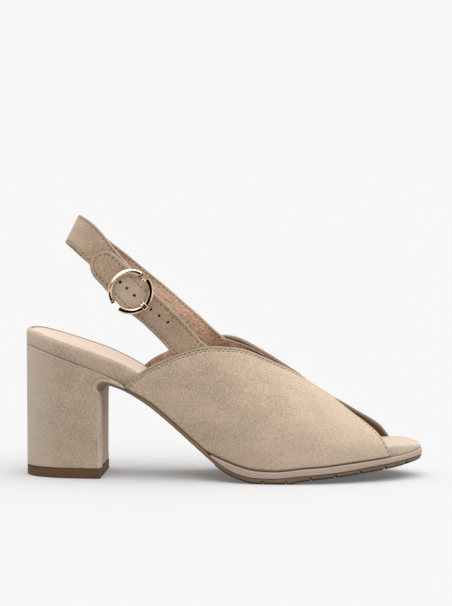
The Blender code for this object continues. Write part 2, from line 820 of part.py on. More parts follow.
# Buckle
def tube_mesh(name, points, radii, cyclic):
    """Closed mesh of a round wire along points in millimetres."""
    curve = bpy.data.curves.new(name, "CURVE")
    curve.dimensions = "3D"
    curve.bevel_depth = MILLIMETRE
    curve.bevel_resolution = 2
    curve.use_fill_caps = True
    line = curve.splines.new("POLY")
    line.points.add(len(points) - 1)
    for target, point, radius in zip(line.points, points, radii):
        target.co = (*(Vector(point) * MILLIMETRE), 1.0)
        target.radius = radius
    line.use_cyclic_u = cyclic
    wire = bpy.data.objects.new(name, curve)
    bpy.context.scene.collection.objects.link(wire)
    graph = bpy.context.evaluated_depsgraph_get()
    mesh = bpy.data.meshes.new_from_object(wire.evaluated_get(graph))
    bpy.data.objects.remove(wire)
    bpy.data.curves.remove(curve)
    work = bmesh.new()
    work.from_mesh(mesh)
    return finish_mesh(work, mesh)


def ring_arc(side):
    """Half of the ring, towards the back for side 1, with its two legs down to the bar's ends."""
    gap_angle = math.asin(ARC_GAP_HALF / RING_RADIUS)
    arc = []
    for step in range(RING_STEPS + 1):
        angle = gap_angle + (math.pi - 2.0 * gap_angle) * step / RING_STEPS
        arc.append((side * RING_RADIUS * math.sin(angle), RING_RADIUS * math.cos(angle), RING_LIFT))
    leg = []
    for share, drop in LEG_ROWS:
        leg.append((side * ARC_GAP_HALF * share, BAR_END, RING_LIFT - drop))
    end = (0.0, BAR_END, BAR_LIFT)
    opposite = [(along, -across, lift) for along, across, lift in leg]
    return [end] + list(reversed(leg)) + arc + opposite + [(0.0, -BAR_END, BAR_LIFT)]


def build_buckle_frame(parts, cutters):
    loop = ring_arc(1)
    radii = [BAR_RADIUS] + [RING_WIRE_RADIUS] * (len(loop) - 2) + [BAR_RADIUS]
    loop_points = [tuple(buckle_point(*point)) for point in loop]
    frame = add_object("buckle_frame", tube_mesh("buckle_frame", loop_points, radii, True), parts)
    arc_points = [tuple(buckle_point(*point)) for point in ring_arc(-1)]
    arc_radii = [FRONT_ARC_END_RADIUS] + radii[1:-1] + [FRONT_ARC_END_RADIUS]
    half = add_object("front_arc", tube_mesh("front_arc", arc_points, arc_radii, False), cutters)
    add_boolean(frame, half, "UNION")


def build_buckle_prong(parts):
    points = []
    radii = []
    for degrees in np.linspace(-PRONG_EYE_HALF_ANGLE, PRONG_EYE_HALF_ANGLE, PRONG_EYE_STEPS + 1):
        angle = math.radians(degrees)
        points.append((PRONG_EYE_RADIUS * math.cos(angle), BAR_LIFT + PRONG_EYE_RADIUS * math.sin(angle)))
        radii.append(PRONG_RADIUS)
    for along, lift, radius in PRONG_ROWS:
        points.append((along, lift))
        radii.append(radius)
    path = [tuple(buckle_point(along, 0.0, lift)) for along, lift in points]
    add_object("buckle_prong", tube_mesh("buckle_prong", path, radii, False), parts)


def clear_scene():
    for item in list(bpy.data.objects):
        bpy.data.objects.remove(item)


def main():
    clear_scene()
    parts = bpy.data.collections.new(OBJECT_NAME)
    cutters = bpy.data.collections.new("cutters")
    for collection in (parts, cutters):
        bpy.context.scene.collection.children.link(collection)
    build_outsole(parts)
    build_platform(parts)
    build_footbed(parts)
    build_sock(parts)
    build_top_lift(parts)
    build_heel(parts, cutters)
    build_upper(parts)
    build_heel_strap(parts, cutters)
    build_buckle_strap(parts, cutters)
    build_buckle_frame(parts, cutters)
    build_buckle_prong(parts)


main()
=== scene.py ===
"""Looks of the heeled sandal: fine surfaces, stitches, materials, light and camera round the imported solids.

Tables and sizes are in millimetres, as in the part's own source, and meshes are scaled to metres.
"""
import math

import bmesh
import bpy
import numpy as np
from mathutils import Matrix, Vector
from mathutils.kdtree import KDTree


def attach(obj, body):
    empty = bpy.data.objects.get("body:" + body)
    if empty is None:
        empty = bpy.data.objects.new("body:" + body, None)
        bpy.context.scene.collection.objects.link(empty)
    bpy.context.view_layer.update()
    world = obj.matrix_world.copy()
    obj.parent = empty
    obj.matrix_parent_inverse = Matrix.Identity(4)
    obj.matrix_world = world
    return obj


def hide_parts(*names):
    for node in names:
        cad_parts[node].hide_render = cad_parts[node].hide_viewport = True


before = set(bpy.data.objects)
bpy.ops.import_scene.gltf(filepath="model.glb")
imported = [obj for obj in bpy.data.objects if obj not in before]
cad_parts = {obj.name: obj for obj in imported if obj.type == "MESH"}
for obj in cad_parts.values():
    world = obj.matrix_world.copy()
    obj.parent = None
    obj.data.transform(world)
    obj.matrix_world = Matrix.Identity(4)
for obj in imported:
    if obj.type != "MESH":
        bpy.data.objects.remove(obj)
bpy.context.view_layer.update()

MILLIMETRE = 0.001
BODY = "root"
WELD_DISTANCE = 1e-6
SHARP_ANGLE = 50.0

# Camera at the photograph's viewing angle, in metres
CAMERA_PLACE = (0.10667, -1.5, 0.21988)
CAMERA_AIM = (0.00127, 0.0, 0.0997)
CAMERA_LENS = 155.33
CAMERA_SENSOR = 36.0

# Main sizes: gaps, the sock's thickness and the heel's lip differ a little from those of the solids
HALF_LENGTH = 114.5
GAP = 0.3
LAYER_GAP = 0.22
UPPER_WALL = 1.8
UPPER_SEAT_GAP = 0.35
STRAP_THICKNESS = 2.0
STRAP_HALF_WIDTH = 8.6
SOCK_THICKNESS = 0.6
TOP_LIFT_HEIGHT = 5.8
HEEL_BASE_SCALE = 0.88
BREAST_X = -69.5
HEEL_LIP_END_X = -55.3
OUTSOLE_REAR_X = -66.0
PLATFORM_REAR_X = -5.5
SOCK_FRONT_X = 70.0
BED_DISH = 1.2
SCOOP_RADIUS = 3.5
SCOOP_CENTRE_AHEAD = 1.9
SCOOP_TAPER = 3.6
SCOOP_ANGLES = (232.0, 90.0)
LIP_STATIONS = (-64.5, -61.0, HEEL_LIP_END_X)

# Plan outline of the sole: station, outer edge, inner edge
OUTLINE_ROWS = (
    (-114.5, 0.0, 0.0),
    (-111.0, -12.6, 12.6),
    (-104.0, -19.6, 19.6),
    (-95.0, -23.8, 23.6),
    (-85.0, -25.7, 25.3),
    (-70.0, -26.5, 26.0),
    (-55.0, -26.5, 24.5),
    (-35.0, -26.0, 21.5),
    (-15.0, -28.5, 22.0),
    (0.0, -33.0, 26.0),
    (15.0, -37.6, 32.0),
    (28.0, -39.5, 37.0),
    (42.0, -39.0, 39.5),
    (60.0, -36.3, 38.6),
    (80.0, -29.8, 34.0),
    (95.0, -22.0, 28.0),
    (105.0, -13.8, 21.5),
    (111.0, -6.0, 14.0),
    (114.5, 3.5, 3.5),
)

# Side profile of the sole: station, outsole underside, outsole top, platform top
SOLE_ROWS = (
    (-66.0, 54.0, 55.9, 55.9),
    (-57.0, 50.9, 52.7, 52.7),
    (-43.0, 42.7, 45.6, 45.6),
    (-30.0, 32.2, 35.2, 35.2),
    (-17.3, 21.2, 24.3, 24.3),
    (-7.5, 12.8, 16.4, 16.4),
    (-3.5, 9.6, 12.8, 14.6),
    (3.0, 5.3, 8.4, 12.0),
    (11.0, 2.0, 5.1, 9.3),
    (20.0, 0.0, 3.4, 7.4),
    (31.0, 0.0, 3.2, 6.9),
    (40.0, 0.0, 3.9, 7.6),
    (46.0, 1.2, 4.6, 8.4),
    (57.5, 2.5, 5.4, 9.2),
    (72.0, 4.0, 6.9, 10.8),
    (86.5, 5.9, 9.0, 12.3),
    (100.0, 7.6, 10.6, 13.8),
    (108.0, 9.0, 11.8, 15.2),
    (114.5, 10.3, 12.8, 16.5),
)

# Seat line between heel and footbed: station, height
SEAT_ROWS = (
    (-114.5, 76.3),
    (-107.8, 75.2),
    (-96.7, 71.6),
    (-83.8, 67.0),
    (-71.0, 62.2),
    (-58.8, 56.1),
    (-53.0, 52.0),
    (-43.0, 44.0),
)

# Footbed: station, top height, inset of its side from the sole outline
FOOTBED_ROWS = (
    (-114.5, 84.6, 0.0),
    (-107.8, 83.4, 0.0),
    (-100.0, 80.9, 0.0),
    (-83.8, 75.6, 0.0),
    (-71.0, 71.2, 0.0),
    (-58.8, 66.3, 2.1),
    (-53.0, 63.4, 2.6),
    (-43.0, 57.4, 2.7),
    (-30.0, 47.2, 2.9),
    (-17.3, 35.9, 3.1),
    (-7.5, 26.8, 3.3),
    (3.0, 20.6, 3.5),
    (11.0, 16.9, 3.6),
    (20.0, 14.4, 3.6),
    (31.0, 13.5, 3.6),
    (46.0, 14.9, 3.6),
    (72.0, 17.3, 3.7),
    (97.7, 20.3, 3.9),
    (103.5, 20.5, 1.0),
    (108.0, 19.9, 0.8),
    (114.5, 19.2, 0.8),
)

# Cross sections of the last: station, ridge offset, ridge height, fullness of the arch
LAST_ROWS = (
    (-60.0, 2.0, 118.0, 2.0),
    (-30.0, 2.0, 107.0, 2.0),
    (-10.0, 2.5, 96.0, 2.0),
    (7.0, 3.0, 85.6, 2.0),
    (20.0, 3.0, 75.6, 2.0),
    (32.0, 3.5, 66.4, 2.0),
    (44.0, 3.5, 58.0, 2.05),
    (55.0, 4.0, 50.5, 2.1),
    (66.0, 4.5, 43.6, 2.2),
    (85.0, 5.0, 33.0, 2.6),
    (100.0, 5.0, 27.0, 2.9),
)

# Inset of the upper from the sole outline: station, inset
UPPER_INSET_ROWS = (
    (-53.0, 0.0),
    (10.0, 1.0),
)

# Rear edge of the upper: angle round the section from the outer feather edge, station
REAR_EDGE_ROWS = (
    (0.0, -55.8),
    (8.5, -49.4),
    (24.0, -34.8),
    (39.5, -19.0),
    (49.5, -8.0),
    (56.5, 2.6),
    (65.8, 14.6),
    (74.0, 26.8),
    (80.5, 34.5),
    (90.0, 44.5),
    (98.5, 35.5),
    (106.0, 23.3),
    (112.3, 11.0),
    (119.5, 0.2),
    (132.7, -13.3),
    (153.8, -34.4),
    (170.4, -49.2),
    (180.0, -55.5),
)

# Front edge of the upper: angle round the section, station
FRONT_EDGE_ROWS = (
    (0.0, 97.7),
    (8.0, 96.3),
    (30.0, 93.2),
    (51.0, 88.5),
    (67.0, 81.8),
    (77.0, 73.7),
    (90.0, 65.4),
    (103.0, 73.1),
    (113.0, 82.9),
    (130.0, 89.6),
    (147.0, 93.0),
    (161.0, 95.4),
    (180.0, 97.4),
)

# Route of the ankle strap from the outer root round the back to the inner root:
# centre x, y, z, lean of the width above +X in degrees, cant of the upper edge towards +Y in degrees
ROUTE_ROWS = (
    (-9.0, -18.4, 66.1, 46.0, 14.0),
    (-19.3, -16.5, 74.6, 46.0, 14.0),
    (-26.0, -18.3, 82.4, 45.0, 11.0),
    (-32.1, -20.9, 89.2, 45.0, 7.0),
    (-40.4, -23.4, 97.6, 45.0, 4.0),
    (-51.1, -25.6, 108.2, 44.0, 3.0),
    (-60.4, -24.8, 118.9, 44.0, 3.0),
    (-69.0, -22.2, 128.7, 47.0, 4.0),
    (-75.1, -18.2, 135.0, 51.0, 4.0),
    (-81.4, -11.6, 139.5, 58.0, 2.0),
    (-86.7, 0.0, 142.2, 63.0, 0.0),
    (-82.4, 11.4, 139.0, 59.0, -2.0),
    (-76.8, 18.0, 132.4, 51.0, -4.0),
    (-66.8, 23.0, 121.5, 47.0, -4.0),
    (-48.6, 25.0, 106.9, 46.0, -3.0),
    (-36.5, 22.6, 96.2, 46.0, -5.0),
    (-27.6, 18.2, 88.4, 46.0, -9.0),
    (-20.0, 13.3, 81.2, 46.0, -13.0),
    (-13.2, 11.4, 74.4, 46.0, -14.0),
    (-5.0, 13.4, 66.3, 46.0, -13.0),
)
BUCKLE_ROW = 5

# Buckle strap: distance along the route from the buckle, lift off the route, sideways shift
BUCKLE_STRAP_ROWS = (
    (-59.0, 0.0, 0.0),
    (-34.0, 0.0, 0.0),
    (-22.0, 0.8, 0.0),
    (-13.0, 1.9, 0.0),
    (-7.0, 2.35, 0.0),
    (0.0, 2.35, 0.0),
    (9.0, 2.35, -0.4),
    (17.0, 2.35, -1.2),
    (28.5, 2.35, -2.6),
)
TIP_ROUNDING = 9.5
TIP_ANGLE = 87.5

# Turned end of the heel strap: distance along the route, lift off the route
FOLD_ROWS = (
    (16.0, -2.35),
    (11.5, -2.4),
    (8.0, -3.1),
    (4.0, -4.5),
)
FOLD_RADIUS = 2.4

# Buckle, in its own axes: along the strap, across it, lift off the route
RING_RADIUS = 11.65
RING_LIFT = 5.05
ARC_GAP_HALF = 2.4
BAR_LIFT = -2.4
BAR_RADIUS = 1.0
BAR_END = 9.2
PRONG_EYE_RADIUS = 2.1

# Tread: stations of the cross grooves, and where the tread steps down from the waist
GROOVE_STATIONS = (24.5, 38.0, 52.0, 66.0, 80.0, 94.0, 106.0)
GROOVE_HALF_WIDTH = 0.8
GROOVE_FLANK = 0.25
GROOVE_DEPTH = 0.9
TREAD_START_X = -3.4
TREAD_STEP = 0.6


# Curves
OUTLINE_STEP = 1e-4
NORMAL_STEP = 0.4
LEAST_LENGTH = 1e-12


def column(rows, index):
    """One column of a table as an array."""
    return np.array([row[index] for row in rows], dtype=float)


def smooth_curve(knots, values):
    """Cubic through the knots that never overshoots them, level beyond both ends, for numbers or arrays."""
    knots = np.asarray(knots, dtype=float)
    values = np.asarray(values, dtype=float)
    width = np.diff(knots)
    slope = np.diff(values) / width
    tangent = np.zeros(len(knots))
    tangent[0] = slope[0]
    tangent[-1] = slope[-1]
    for i in range(1, len(knots) - 1):
        if slope[i - 1] * slope[i] > 0.0:
            before = 2.0 * width[i] + width[i - 1]
            after = width[i] + 2.0 * width[i - 1]
            tangent[i] = (before + after) / (before / slope[i - 1] + after / slope[i])

    def evaluate(position):
        position = np.clip(position, knots[0], knots[-1])
        i = np.clip(np.searchsorted(knots, position) - 1, 0, len(width) - 1)
        t = (position - knots[i]) / width[i]
        start = values[i] * (1.0 + 2.0 * t) * (1.0 - t) ** 2 + tangent[i] * width[i] * t * (1.0 - t) ** 2
        end = values[i + 1] * t * t * (3.0 - 2.0 * t) + tangent[i + 1] * width[i] * t * t * (t - 1.0)
        return start + end

    return evaluate


def spline(knots, values):
    """Natural cubic spline through the knots."""
    knots = np.asarray(knots, dtype=float)
    values = np.asarray(values, dtype=float)
    width = np.diff(knots)
    count = len(knots)
    matrix = np.eye(count)
    right = np.zeros(count)
    for i in range(1, count - 1):
        matrix[i, i - 1:i + 2] = (width[i - 1], 2.0 * (width[i - 1] + width[i]), width[i])
        jump = (values[i + 1] - values[i]) / width[i] - (values[i] - values[i - 1]) / width[i - 1]
        right[i] = 6.0 * jump
    bend = np.linalg.solve(matrix, right)

    def evaluate(position):
        i = int(np.clip(np.searchsorted(knots, position) - 1, 0, count - 2))
        a = knots[i + 1] - position
        b = position - knots[i]
        h = width[i]
        cubic = (bend[i] * a ** 3 + bend[i + 1] * b ** 3) / (6.0 * h)
        before = (values[i] / h - bend[i] * h / 6.0) * a
        after = (values[i + 1] / h - bend[i + 1] * h / 6.0) * b
        return cubic + before + after

    return evaluate


def unit(vectors):
    """Vectors of length one."""
    length = np.linalg.norm(vectors, axis=-1, keepdims=True)
    return vectors / np.maximum(length, LEAST_LENGTH)


def run_along(points):
    """Distance of each point of a line from its start, along the line."""
    return np.concatenate(([0.0], np.cumsum(np.linalg.norm(np.diff(points, axis=0), axis=1))))


def vectors_at(places, knots, vectors):
    """Vectors at places between the knots where they are given."""
    return np.stack([np.interp(places, knots, values) for values in vectors.T], axis=-1)


def bell(distance, centre, width):
    """Smooth bump of height one round a centre."""
    return np.exp(-((distance - centre) / width) ** 2)


def step_down(distance, start, end):
    """One below start, nought beyond end, smooth between."""
    t = np.clip((distance - start) / (end - start), 0.0, 1.0)
    return 1.0 - t * t * (3.0 - 2.0 * t)


def turn_of(x):
    """Angle that walks the outline from the heel's back, 0, to the toe, pi."""
    return np.arccos(np.clip(-np.asarray(x, dtype=float) / HALF_LENGTH, -1.0, 1.0))


def station_of(turns):
    """Stations of angles that walk the outline."""
    return -HALF_LENGTH * np.cos(turns)


def inner_shares(count):
    """Even shares between nought and one, without both ends."""
    return np.linspace(0.0, 1.0, count + 2)[1:-1]


def round_turns(count):
    """Even angles round a circle."""
    return np.linspace(0.0, 2.0 * math.pi, count, endpoint=False)


def table_curves(rows, knots=None):
    """Smooth curves of a table's other columns over its first one, or over other knots."""
    if knots is None:
        knots = column(rows, 0)
    return [smooth_curve(knots, column(rows, i)) for i in range(1, len(rows[0]))]


OUTER_EDGE, INNER_EDGE = table_curves(OUTLINE_ROWS, turn_of(column(OUTLINE_ROWS, 0)))
GROUND, WELT, FEATHER = table_curves(SOLE_ROWS)
SEAT = table_curves(SEAT_ROWS)[0]
BED_TOP, BED_INSET = table_curves(FOOTBED_ROWS)
RIDGE_Y, RIDGE_Z, FULLNESS = table_curves(LAST_ROWS)
REAR_EDGE = table_curves(REAR_EDGE_ROWS)[0]
FRONT_EDGE = table_curves(FRONT_EDGE_ROWS)[0]
UPPER_INSET = table_curves(UPPER_INSET_ROWS)[0]


def outline_points(turns, side, inset):
    """Stations and offsets of the sole outline on side -1, outer, or 1, inner, moved inwards by inset."""
    edge = OUTER_EDGE if side < 0 else INNER_EDGE
    low = np.maximum(turns - OUTLINE_STEP, 0.0)
    high = np.minimum(turns + OUTLINE_STEP, math.pi)
    run = HALF_LENGTH * np.sin(turns) * (high - low)
    rise = edge(high) - edge(low)
    length = np.hypot(run, rise)
    x = station_of(turns) + side * inset * rise / length
    return x, edge(turns) - side * inset * run / length


def last_points(x, angle):
    """Outside of the upper at stations and angles round its section, 90 degrees at the ridge."""
    power = 2.0 / FULLNESS(x)
    across = np.abs(np.cos(np.radians(angle))) ** power
    up = np.maximum(np.sin(np.radians(angle)), 0.0) ** power
    outer = OUTER_EDGE(turn_of(x)) + UPPER_INSET(x)
    inner = INNER_EDGE(turn_of(x)) - UPPER_INSET(x)
    edge = np.where(angle <= 90.0, outer, inner)
    floor = FEATHER(x) + UPPER_SEAT_GAP
    y = RIDGE_Y(x) + (edge - RIDGE_Y(x)) * across
    return np.stack((x, y, floor + (RIDGE_Z(x) - floor) * up), axis=-1)


def last_normals(x, angle):
    """Outward directions of the upper's surface."""
    along = last_points(x + NORMAL_STEP, angle) - last_points(x - NORMAL_STEP, angle)
    low = np.maximum(angle - NORMAL_STEP, 0.0)
    high = np.minimum(angle + NORMAL_STEP, 180.0)
    return unit(np.cross(along, last_points(x, high) - last_points(x, low)))


def upper_sheet(x, angles):
    """Outside of the upper and its outward directions, for a row of stations at each angle."""
    angle = np.broadcast_to(angles[:, None], x.shape)
    return last_points(x, angle), last_normals(x, angle)


# Mesh helpers
def linked_object(name, points, faces, materials=(), face_slots=None):
    """Object in the scene from points in millimetres, with its faces turned outwards."""
    mesh = bpy.data.meshes.new(name)
    mesh.from_pydata((np.asarray(points, dtype=float) * MILLIMETRE).tolist(), [], faces)
    for material in materials:
        mesh.materials.append(material)
    if face_slots is not None:
        mesh.polygons.foreach_set("material_index", np.asarray(face_slots, dtype=np.int32))
    work = bmesh.new()
    work.from_mesh(mesh)
    bmesh.ops.remove_doubles(work, verts=work.verts, dist=WELD_DISTANCE)
    if work.calc_volume(signed=True) < 0.0:
        bmesh.ops.reverse_faces(work, faces=work.faces)
    work.to_mesh(mesh)
    work.free()
    item = bpy.data.objects.new(name, mesh)
    bpy.context.scene.collection.objects.link(item)
    return item


def shade_soft(mesh):
    """Smooth shading, apart from edges that are sharp."""
    mesh.shade_smooth()
    mesh.set_sharp_from_angle(angle=math.radians(SHARP_ANGLE))


def add_piece(name, points, faces, materials, slot, face_slots=None, nodes=()):
    """Piece of the shoe on the part's body and in place of the solids that it dresses."""
    piece = linked_object(name, points, faces, materials, face_slots)
    shade_soft(piece.data)
    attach(piece, BODY)
    if nodes:
        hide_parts(*nodes)
    return piece


def shell_faces(rows, columns, caps=(True, True)):
    """Quads over rows of closed loops, with a flat face at each end that is capped."""
    i = columns * np.arange(rows - 1)[:, None]
    j = np.arange(columns)[None, :]
    beside = (j + 1) % columns
    quads = np.stack((i + j, i + beside, i + columns + beside, i + columns + j), axis=-1)
    faces = quads.reshape(-1, 4).tolist()
    if caps[0]:
        faces.append(list(range(columns))[::-1])
    if caps[1]:
        faces.append(list(range((rows - 1) * columns, rows * columns)))
    return faces


def join_shells(shells):
    """Points and faces of several lofts with flat ends."""
    points = []
    faces = []
    for loops in shells:
        start = len(points)
        points += list(loops.reshape(-1, 3))
        faces += [[start + index for index in face] for face in shell_faces(*loops.shape[:2])]
    return points, faces


def loft_piece(name, loops, materials, slot, column_slots=None, nodes=(), caps=(False, False)):
    """Piece from an array of closed loops, flat at an end that is capped."""
    rows, columns = loops.shape[:2]
    faces = shell_faces(rows, columns, caps)
    face_slots = None
    if column_slots is not None:
        face_slots = list(np.broadcast_to(column_slots, (rows - 1, columns)).ravel()) + [0] * sum(caps)
    return add_piece(name, loops.reshape(-1, 3), faces, materials, slot, face_slots, nodes)


def take_away(item, cutter):
    """Modifier that cuts one object out of another."""
    cut = item.modifiers.new("cut", "BOOLEAN")
    cut.operation = "DIFFERENCE"
    cut.solver = "EXACT"
    cut.object = cutter


def evaluated_mesh(item):
    """Mesh of an object with its modifiers applied."""
    graph = bpy.context.evaluated_depsgraph_get()
    return bpy.data.meshes.new_from_object(item.evaluated_get(graph))


def nearest_places(points, line):
    """Index and distance of the nearest point of a closely stepped line, for each point of an array."""
    tree = KDTree(len(line))
    for index, point in enumerate(line):
        tree.insert(Vector(point), index)
    tree.balance()
    found = [tree.find(Vector(point)) for point in points.reshape(-1, 3)]
    shape = points.shape[:-1]
    places = np.array([index for _, index, _ in found]).reshape(shape)
    return places, np.array([distance for _, _, distance in found]).reshape(shape)


def nearest(points, line):
    """Distance of each point of an array to a closely stepped line."""
    return nearest_places(points, line)[1]


# Materials
NOISE_LIMITS = (0.3, 0.7)
NEAR_CORE = 0.7
# Painted light: paler suede colours blended in where more light falls
SUEDE_PAINTED_LIGHT = (0.66, 0.53, 0.41)
TOE_BED_PAINTED_LIGHT = (0.61, 0.515, 0.42)

# Painted light on the strap inside the ring, which lifts the ring's shadow there: place, reach, share of the
# paler colour
RING_PAINTED_LIGHT = (ROUTE_ROWS[BUCKLE_ROW][:3], 13.0, 0.4)

# Waist of the outsole: stations between which a lighter colour comes in, share of that colour
WAIST_SPAN = (5.0, -15.0)
WAIST_SHARE = 0.75


def label(key):
    """Name of a shader input from its keyword."""
    return key.replace("_", " ").title().replace("Ior", "IOR")


def feed(tree, socket, value):
    """Constant value, or link from another node, on an input."""
    if isinstance(value, bpy.types.NodeSocket):
        tree.links.new(value, socket)
    else:
        socket.default_value = value


def add_node(tree, kind, **inputs):
    """Shader node of a kind, with a value or a link on each input that is named."""
    node = tree.nodes.new("ShaderNode" + kind)
    for key, value in inputs.items():
        feed(tree, node.inputs[label(key)], value)
    return node


def start_material(name, colour, **values):
    """Material with a Principled shader and constant values on its own sockets."""
    material = bpy.data.materials.new(name)
    material.use_nodes = True
    tree = material.node_tree
    shader = tree.nodes["Principled BSDF"]
    shader.inputs["Base Color"].default_value = (*colour, 1.0)
    for key, value in values.items():
        shader.inputs[label(key)].default_value = value
    return material, tree, shader


def shoe_place(tree):
    """Place on the shoe in its own metres."""
    return add_node(tree, "TexCoord").outputs["Object"]


def span(tree, value, low, high, out_low=0.0, out_high=1.0):
    """Value moved from one range to another and held there."""
    limits = {"from_min": low, "from_max": high, "to_min": out_low, "to_max": out_high}
    return add_node(tree, "MapRange", value=value, **limits).outputs["Result"]


def noise(tree, scale, detail=2.0, roughness=0.5, stretch=(1.0, 1.0, 1.0), turn=0.0, limits=NOISE_LIMITS):
    """Noise in the shoe's own metres, cut off at limits, drawn out where stretch is below one."""
    turned = (0.0, math.radians(turn), 0.0)
    mapping = add_node(tree, "Mapping", vector=shoe_place(tree), scale=stretch, rotation=turned)
    node = add_node(tree, "TexNoise", vector=mapping.outputs["Vector"], scale=scale, detail=detail,
                    roughness=roughness)
    return span(tree, node.outputs["Fac"], *limits)


def blend_colours(tree, factor, first, second):
    """Mix of two colours or colour sockets."""
    node = add_node(tree, "Mix", factor=factor)
    node.data_type = "RGBA"
    for key, colour in (("A", first), ("B", second)):
        socket = next(s for s in node.inputs if s.name == key and s.type == "RGBA")
        feed(tree, socket, (*colour, 1.0) if isinstance(colour, tuple) else colour)
    return next(s for s in node.outputs if s.type == "RGBA")


def weigh(tree, parts, start=0.0):
    """Sum of values with their weights, on top of a start."""
    total = start
    for value, weight in parts:
        node = add_node(tree, "Math")
        node.operation = "MULTIPLY_ADD"
        for socket, item in zip(node.inputs, (value, weight, total)):
            feed(tree, socket, item)
        total = node.outputs[0]
    return total


def add_bump(tree, shader, height, strength, distance):
    """Relief on the shader's normal, with its depth in millimetres."""
    node = add_node(tree, "Bump", height=height, strength=strength, distance=distance * MILLIMETRE)
    tree.links.new(node.outputs["Normal"], shader.inputs["Normal"])


def station(tree, low, high, most):
    """Value that grows from nought to most along the shoe between two stations in millimetres."""
    x = add_node(tree, "SeparateXYZ", vector=shoe_place(tree)).outputs["X"]
    return span(tree, x, low * MILLIMETRE, high * MILLIMETRE, 0.0, most)


def near_place(tree, place, reach, most):
    """Value that falls from most to nought with the distance from a place, in millimetres."""
    node = add_node(tree, "VectorMath")
    node.operation = "DISTANCE"
    feed(tree, node.inputs[0], shoe_place(tree))
    feed(tree, node.inputs[1], [value * MILLIMETRE for value in place])
    edge = reach * MILLIMETRE
    return span(tree, node.outputs["Value"], NEAR_CORE * edge, edge, most, 0.0)


def suede(name, light, dark, warm, painted_light_colour=SUEDE_PAINTED_LIGHT, painted_light_spans=(), painted_light_in_ring=None):
    """Short napped leather: brushed patches, fine grain and specks, with painted light as a paler colour
    along some stretches and in a patch inside the ring.
    """
    material, tree, shader = start_material(
        name, light, roughness=0.95, sheen_weight=0.25, sheen_roughness=0.45,
        sheen_tint=(1.0, 0.93, 0.85, 1.0), specular_ior_level=0.15)
    patches = noise(tree, scale=42.0, limits=(0.35, 0.68))
    strokes = noise(tree, scale=170.0, detail=3.0, roughness=0.6, stretch=(0.35, 1.0, 1.0), turn=-28.0,
                    limits=(0.32, 0.7))
    grain = noise(tree, scale=1100.0, detail=3.0, roughness=0.65)
    specks = noise(tree, scale=2200.0, roughness=0.6)
    shade = weigh(tree, ((patches, 0.14), (strokes, 0.22), (grain, 0.9), (specks, 0.7)), start=-0.48)
    base = blend_colours(tree, shade, dark, light)
    tint = noise(tree, scale=65.0, stretch=(1.0, 0.6, 0.8), limits=(0.45, 0.75, 0.0, 0.35))
    base = blend_colours(tree, tint, base, warm)
    # Painted light: a paler colour along stretches of the shoe where more light falls, such as towards the
    # toe
    for painted_light_span in painted_light_spans:
        base = blend_colours(tree, station(tree, *painted_light_span), base, painted_light_colour)
    # Painted light: a paler patch on the strap inside the ring, against the ring's shadow
    if painted_light_in_ring is not None:
        base = blend_colours(tree, near_place(tree, *painted_light_in_ring), base, painted_light_colour)
    tree.links.new(base, shader.inputs["Base Color"])
    nap = weigh(tree, ((grain, 0.7), (specks, 0.5), (strokes, 0.3)))
    add_bump(tree, shader, nap, strength=0.55, distance=0.25)
    return material


def smooth_leather(name, light, dark, roughness, pebble, depth, streak=(1.0, 1.0, 1.0)):
    """Smooth or finely grained leather with faint streaks."""
    material, tree, shader = start_material(name, light, roughness=roughness, specular_ior_level=0.35)
    clouds = noise(tree, scale=60.0, detail=3.0, roughness=0.55, stretch=streak, limits=(0.32, 0.7))
    pores = noise(tree, scale=pebble, detail=3.0, roughness=0.6)
    shade = weigh(tree, ((clouds, 0.6), (pores, 0.4)))
    tree.links.new(blend_colours(tree, shade, dark, light), shader.inputs["Base Color"])
    gloss = span(tree, pores, 0.0, 1.0, roughness + 0.08, roughness - 0.08)
    tree.links.new(gloss, shader.inputs["Roughness"])
    add_bump(tree, shader, weigh(tree, ((pores, 1.0), (clouds, 0.4))), strength=0.5, distance=depth)
    return material


def rubber(name, light, dark, roughness, waist=None):
    """Moulded rubber or stacked lift: fine lines along the edge, a dull bloom, a colour for the waist."""
    material, tree, shader = start_material(name, light, roughness=roughness, specular_ior_level=0.4)
    layers = noise(tree, scale=380.0, stretch=(0.06, 0.06, 1.0), limits=(0.35, 0.65))
    bloom = noise(tree, scale=120.0, detail=3.0, roughness=0.6)
    specks = noise(tree, scale=1600.0)
    shade = weigh(tree, ((layers, 0.45), (bloom, 0.35), (specks, 0.2)))
    base = blend_colours(tree, shade, dark, light)
    if waist is not None:
        base = blend_colours(tree, station(tree, *WAIST_SPAN, WAIST_SHARE), base, waist)
    tree.links.new(base, shader.inputs["Base Color"])
    gloss = span(tree, bloom, 0.0, 1.0, roughness - 0.1, roughness + 0.12)
    tree.links.new(gloss, shader.inputs["Roughness"])
    add_bump(tree, shader, weigh(tree, ((specks, 0.6), (layers, 0.6))), strength=0.4, distance=0.12)
    return material


def polished_metal(name, light, dark, roughness):
    """Plated metal with a faint haze and hair scratches."""
    material, tree, shader = start_material(name, light, roughness=roughness, metallic=1.0)
    haze = noise(tree, scale=300.0, detail=3.0, roughness=0.6)
    scratches = noise(tree, scale=1800.0, stretch=(0.08, 1.0, 1.0), turn=40.0, limits=(0.35, 0.65))
    tree.links.new(blend_colours(tree, haze, light, dark), shader.inputs["Base Color"])
    gloss = weigh(tree, ((haze, 0.06), (scratches, 0.04)))
    tree.links.new(span(tree, gloss, 0.0, 0.1, roughness, roughness + 0.08), shader.inputs["Roughness"])
    return material


def plain(name, light, dark, roughness, scale):
    """Thread, cut edge, or a dark colour of painted shade in holes and along the upper's foot: one colour
    with fibres in it.
    """
    material, tree, shader = start_material(name, light, roughness=roughness, specular_ior_level=0.2)
    fibres = noise(tree, scale=scale, detail=3.0, roughness=0.65)
    tree.links.new(blend_colours(tree, fibres, dark, light), shader.inputs["Base Color"])
    add_bump(tree, shader, fibres, strength=0.5, distance=0.12)
    return material
